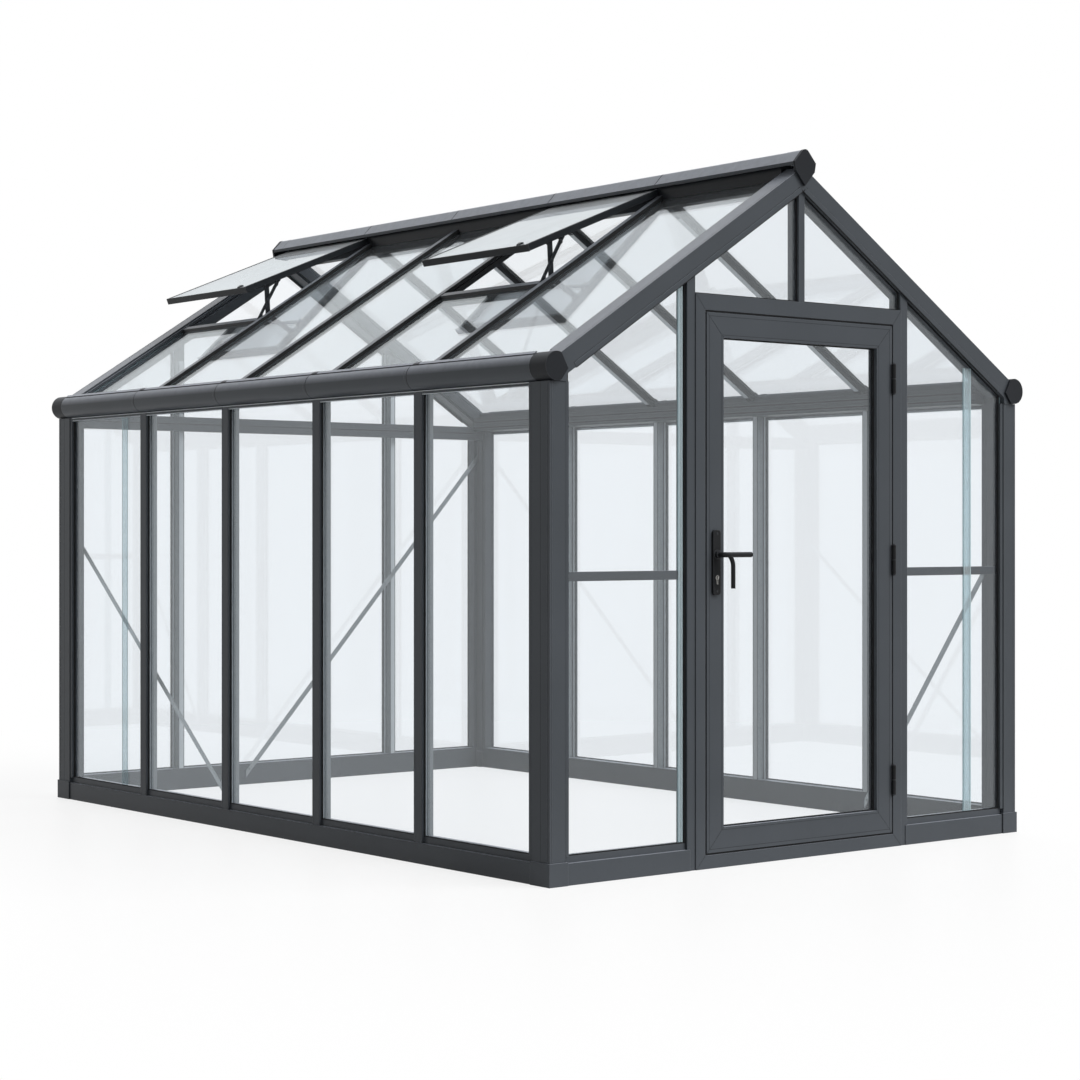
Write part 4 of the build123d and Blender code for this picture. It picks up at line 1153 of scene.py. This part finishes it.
hair_half = 0.0007
hair = (-0.0008, 0.00015)


def mitres(mesh, outer, inner, level, out):
    """Adds a hair line over each mitred corner of a frame, on the face at that depth."""
    for (a, b), (c, d) in zip(outer, inner):
        run = Vector((c - a, 0, d - b)).normalized()
        a, b = a + run.x * 0.0015, b + run.z * 0.0015
        c, d = c - run.x * 0.001, d - run.z * 0.001
        across = run.cross(Vector((0, 1, 0)))
        bar(mesh, oblong(-hair_half, hair_half, *hair), (a, level, b), (c, level, d), across, (0, out, 0))


frame_lines = bmesh.new()
leaf_lines = bmesh.new()
mitres(frame_lines, frame_outline[2:], gap_outline[2:], face_y, -1)
mitres(frame_lines, frame_outline[:2], gap_outline[:2], face_y, -1)
mitres(leaf_lines, leaf_outline, glass_outline, face_y, -1)
mitres(leaf_lines, leaf_outline, glass_outline, leaf_high.y, 1)
x_axis, z_axis = (1, 0, 0), (0, 0, 1)
# rings round the leaf and its glass: thin dark strips, a painted shade of the groove
ring(leaf_lines, leaf_outline, -0.0125, 0.0137, (0, face_y, 0), x_axis, z_axis, *hair)
ring(leaf_lines, glass_outline, 0.0102, -0.0090, (0, face_y, 0), x_axis, z_axis, *hair)
piece("door_frame_hairlines", frame_lines, rubber, "house", 0)
piece("door_leaf_hairlines_and_groove_shade", leaf_lines, rubber, "door", 0)

# seals: in the gap round the leaf, on the door stop, and round the glass
mesh = bmesh.new()
ring(mesh, gap_outline, 0.0, 0.0052, (0, face_y, 0), x_axis, z_axis, -0.016, -0.003)
stop_y = frame_high.y - 0.010
ring(mesh, gap_outline, -0.004, 0.013, (0, stop_y, 0), x_axis, z_axis, -0.0005, 0.0042)
piece("door_frame_seals", mesh, rubber, "house", 0.001)
mesh = bmesh.new()
ring(mesh, glass_outline, 0.0, 0.0040, (0, glass_low.y, 0), x_axis, z_axis, 0.0002, 0.0045)
ring(mesh, glass_outline, 0.0, 0.0040, (0, glass_high.y, 0), x_axis, z_axis, -0.0045, -0.0002)
piece("door_glass_seals", mesh, rubber, "door", 0.0008)

# ---- Hinges --------------------------------------------------------------------------
# Three narrow butt hinges of die-cast zinc, screwed on inside the door's gap, with domed
# pin caps. They have a near black coat, which shines softly; its edges are paled grey,
# partly rubbed and partly a painted edge highlight.
hardware = sprayed("black_coated_hardware", "#17181a", "#1d1e20", 0.32, 0.0002, 0.06)
coat(hardware, "hinge_frame_leaves", "hinge_door_leaves")
pin_x, pin_y = 0.4815, face_y - 0.008
pin_half = 0.055
hinge_heights = (leaf_low.z + 0.200, 1.090, leaf_high.z - 0.200)
dome = ((0.0082, -0.0005), (0.0082, 0.0015), (0.0066, 0.0034), (0.0030, 0.0045))
on_frame = bmesh.new()
on_door = bmesh.new()
for height in hinge_heights:
    turned(on_frame, (pin_x, pin_y, height - pin_half), (0, 0, -1), dome)
    turned(on_door, (pin_x, pin_y, height + pin_half), (0, 0, 1), dome)
piece("hinge_frame_fittings", on_frame, hardware, "house", 0)
piece("hinge_door_fittings", on_door, hardware, "door", 0)

# ---- Handle and lock -----------------------------------------------------------------
# Die-cast lever handles on long plates, coated black, one outside with a curved drop grip
# and one inside. A nickel plated lock cylinder shows in each plate.
coat(hardware, "handle_plates", "outer_lever", "inner_lever")
plate_low, plate_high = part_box("handle_plates")
handle_x = (plate_low.x + plate_high.x) / 2
lever_z = 1.115
key_z = 1.0335

# Nickel plated brass: a bright warm grey metal, scuffed by keys.
nickel, tree, output, worn, shade = clouded("nickel_plated_brass", "#b3b2ae", "#cfcecb", 0.006, 4.0)
shader = skin(tree, shade, None, {"Metallic": 1.0}, (worn, 0.18, 0.34))
tree.links.new(shader, output.inputs["Surface"])

collar = ((0.0142, -0.0005), (0.0178, -0.0005), (0.0178, 0.0020), (0.0164, 0.0034))
collar += ((0.0142, 0.0034), (0.0142, -0.0005))
cylinder_radius = 0.0085
cylinder_shape = []
for step in range(19):
    turn = math.radians(-62 + step * 304 / 18)
    cylinder_shape.append((cylinder_radius * math.cos(turn), cylinder_radius * math.sin(turn)))
cylinder_shape += [(-0.0040, -0.0225), (0.0, -0.0245), (0.0040, -0.0225)]
keyway_half = 0.0007
fittings = bmesh.new()
cylinders = bmesh.new()
keyway_shade = bmesh.new()
for level, out in ((plate_low.y, -1), (plate_high.y, 1)):
    turned(fittings, (handle_x, level, lever_z), (0, out, 0), collar, ends=False)
    for height in (plate_low.z + 0.014, plate_high.z - 0.014):
        screw_head(fittings, (handle_x, level, height), (0, out, 0), 0.0042, 0.0012)
    start, stop = (handle_x, level - out * 0.001, key_z), (handle_x, level + out * 0.0016, key_z)
    bar(cylinders, cylinder_shape, start, stop, (1, 0, 0), (0, 0, 1))
    # the keyway: a thin dark strip, a painted shade in the slot
    start, stop = (handle_x, level + out * 0.0010, key_z), (handle_x, level + out * 0.0018, key_z)
    bar(keyway_shade, oblong(-keyway_half, keyway_half, -0.0055, 0.0050), start, stop, (1, 0, 0), (0, 0, 1))
piece("handle_plate_fittings", fittings, hardware, "door", 0)
piece("lock_cylinders", cylinders, nickel, "door", 0.0003)
piece("lock_keyway_shade", keyway_shade, rubber, "door", 0)

# ---- Floor, light and camera ---------------------------------------------------------
# A pale studio floor, a soft key light from the front right and above, and a white
# surround that the glass and the coat mirror.
floor_reach = 40
floor_level = -0.0006
ground = bpy.data.meshes.new("floor")
corners = [(x, y, floor_level) for x, y in oblong(-floor_reach, floor_reach, -floor_reach, floor_reach)]
ground.from_pydata(corners, [], [(0, 1, 2, 3)])
floor = bpy.data.objects.new("floor", ground)
scene.collection.objects.link(floor)
floor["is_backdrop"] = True


def seen_ray(tree):
    """1 for a ray that shows the surround itself: to the camera, by gloss or through."""
    ray = add_node(tree, "ShaderNodeLightPath")
    seen = ray.outputs["Is Camera Ray"]
    for other in ("Is Glossy Ray", "Is Transmission Ray"):
        either = add_node(tree, "ShaderNodeMath", {"operation": "MAXIMUM"}, {0: seen, 1: ray.outputs[other]})
        seen = either.outputs[0]
    return seen


floor_white, tree, output = new_material("pale_studio_floor")
shown = add_node(tree, "ShaderNodeBsdfPrincipled", {"Base Color": linear("#fafafa"), "Roughness": 0.4})
glow = add_node(tree, "ShaderNodeEmission", {"Color": (1, 1, 1, 1), "Strength": 1.0})
where = add_node(tree, "ShaderNodeNewGeometry")
far = add_node(tree, "ShaderNodeVectorMath", {"operation": "LENGTH"}, {0: where.outputs["Position"]})
fade = add_node(
    tree,
    "ShaderNodeMapRange",
    {"From Min": 2.6, "From Max": 5.0, "To Min": 0.82, "To Max": 1.0},
    {"Value": far.outputs["Value"]},
)
white = add_node(
    tree,
    "ShaderNodeMixShader",
    {},
    {0: fade.outputs["Result"], 1: shown.outputs["BSDF"], 2: glow.outputs["Emission"]},
)
bounce = add_node(tree, "ShaderNodeBsdfDiffuse", {"Color": (0.7, 0.7, 0.7, 1)})
whole = add_node(
    tree,
    "ShaderNodeMixShader",
    {},
    {0: seen_ray(tree), 1: bounce.outputs["BSDF"], 2: white.outputs["Shader"]},
)
tree.links.new(whole.outputs["Shader"], output.inputs["Surface"])
ground.materials.append(floor_white)

world = bpy.data.worlds.new("white_surround")
scene.world = world
world.use_nodes = True
tree = world.node_tree
tree.nodes.clear()
level = add_node(tree, "ShaderNodeMapRange", {"To Min": 0.24, "To Max": 1.0}, {"Value": seen_ray(tree)})
sky = add_node(tree, "ShaderNodeBackground", {"Color": (1, 1, 1, 1)}, {"Strength": level.outputs["Result"]})
around = tree.nodes.new("ShaderNodeOutputWorld")
tree.links.new(sky.outputs["Background"], around.inputs["Surface"])

for name, energy, angle, source in (
    ("key", 3.1, 50, (0.39, -0.65, 0.65)),
    ("fill", 0.9, 70, (0.45, 0.75, 0.50)),
):
    lamp_data = bpy.data.lights.new(name, "SUN")
    lamp_data.energy = energy
    lamp_data.angle = math.radians(angle)
    lamp = bpy.data.objects.new(name, lamp_data)
    lamp.rotation_euler = Vector(source).to_track_quat("Z", "Y").to_euler()
    lamp.visible_glossy = False
    scene.collection.objects.link(lamp)

camera_data = bpy.data.cameras.new("camera")
camera_data.sensor_width = 36.0
camera_data.lens = 79.2
camera_data.shift_y = -0.0075
camera = bpy.data.objects.new("camera", camera_data)
camera.location = (-6.221, -7.950, 1.196)
camera.rotation_euler = (math.radians(90), 0, math.radians(-38.82))
scene.collection.objects.link(camera)
scene.camera = camera

scene.view_settings.view_transform = "Standard"
scene.cycles.transparent_max_bounces = 32

low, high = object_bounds()
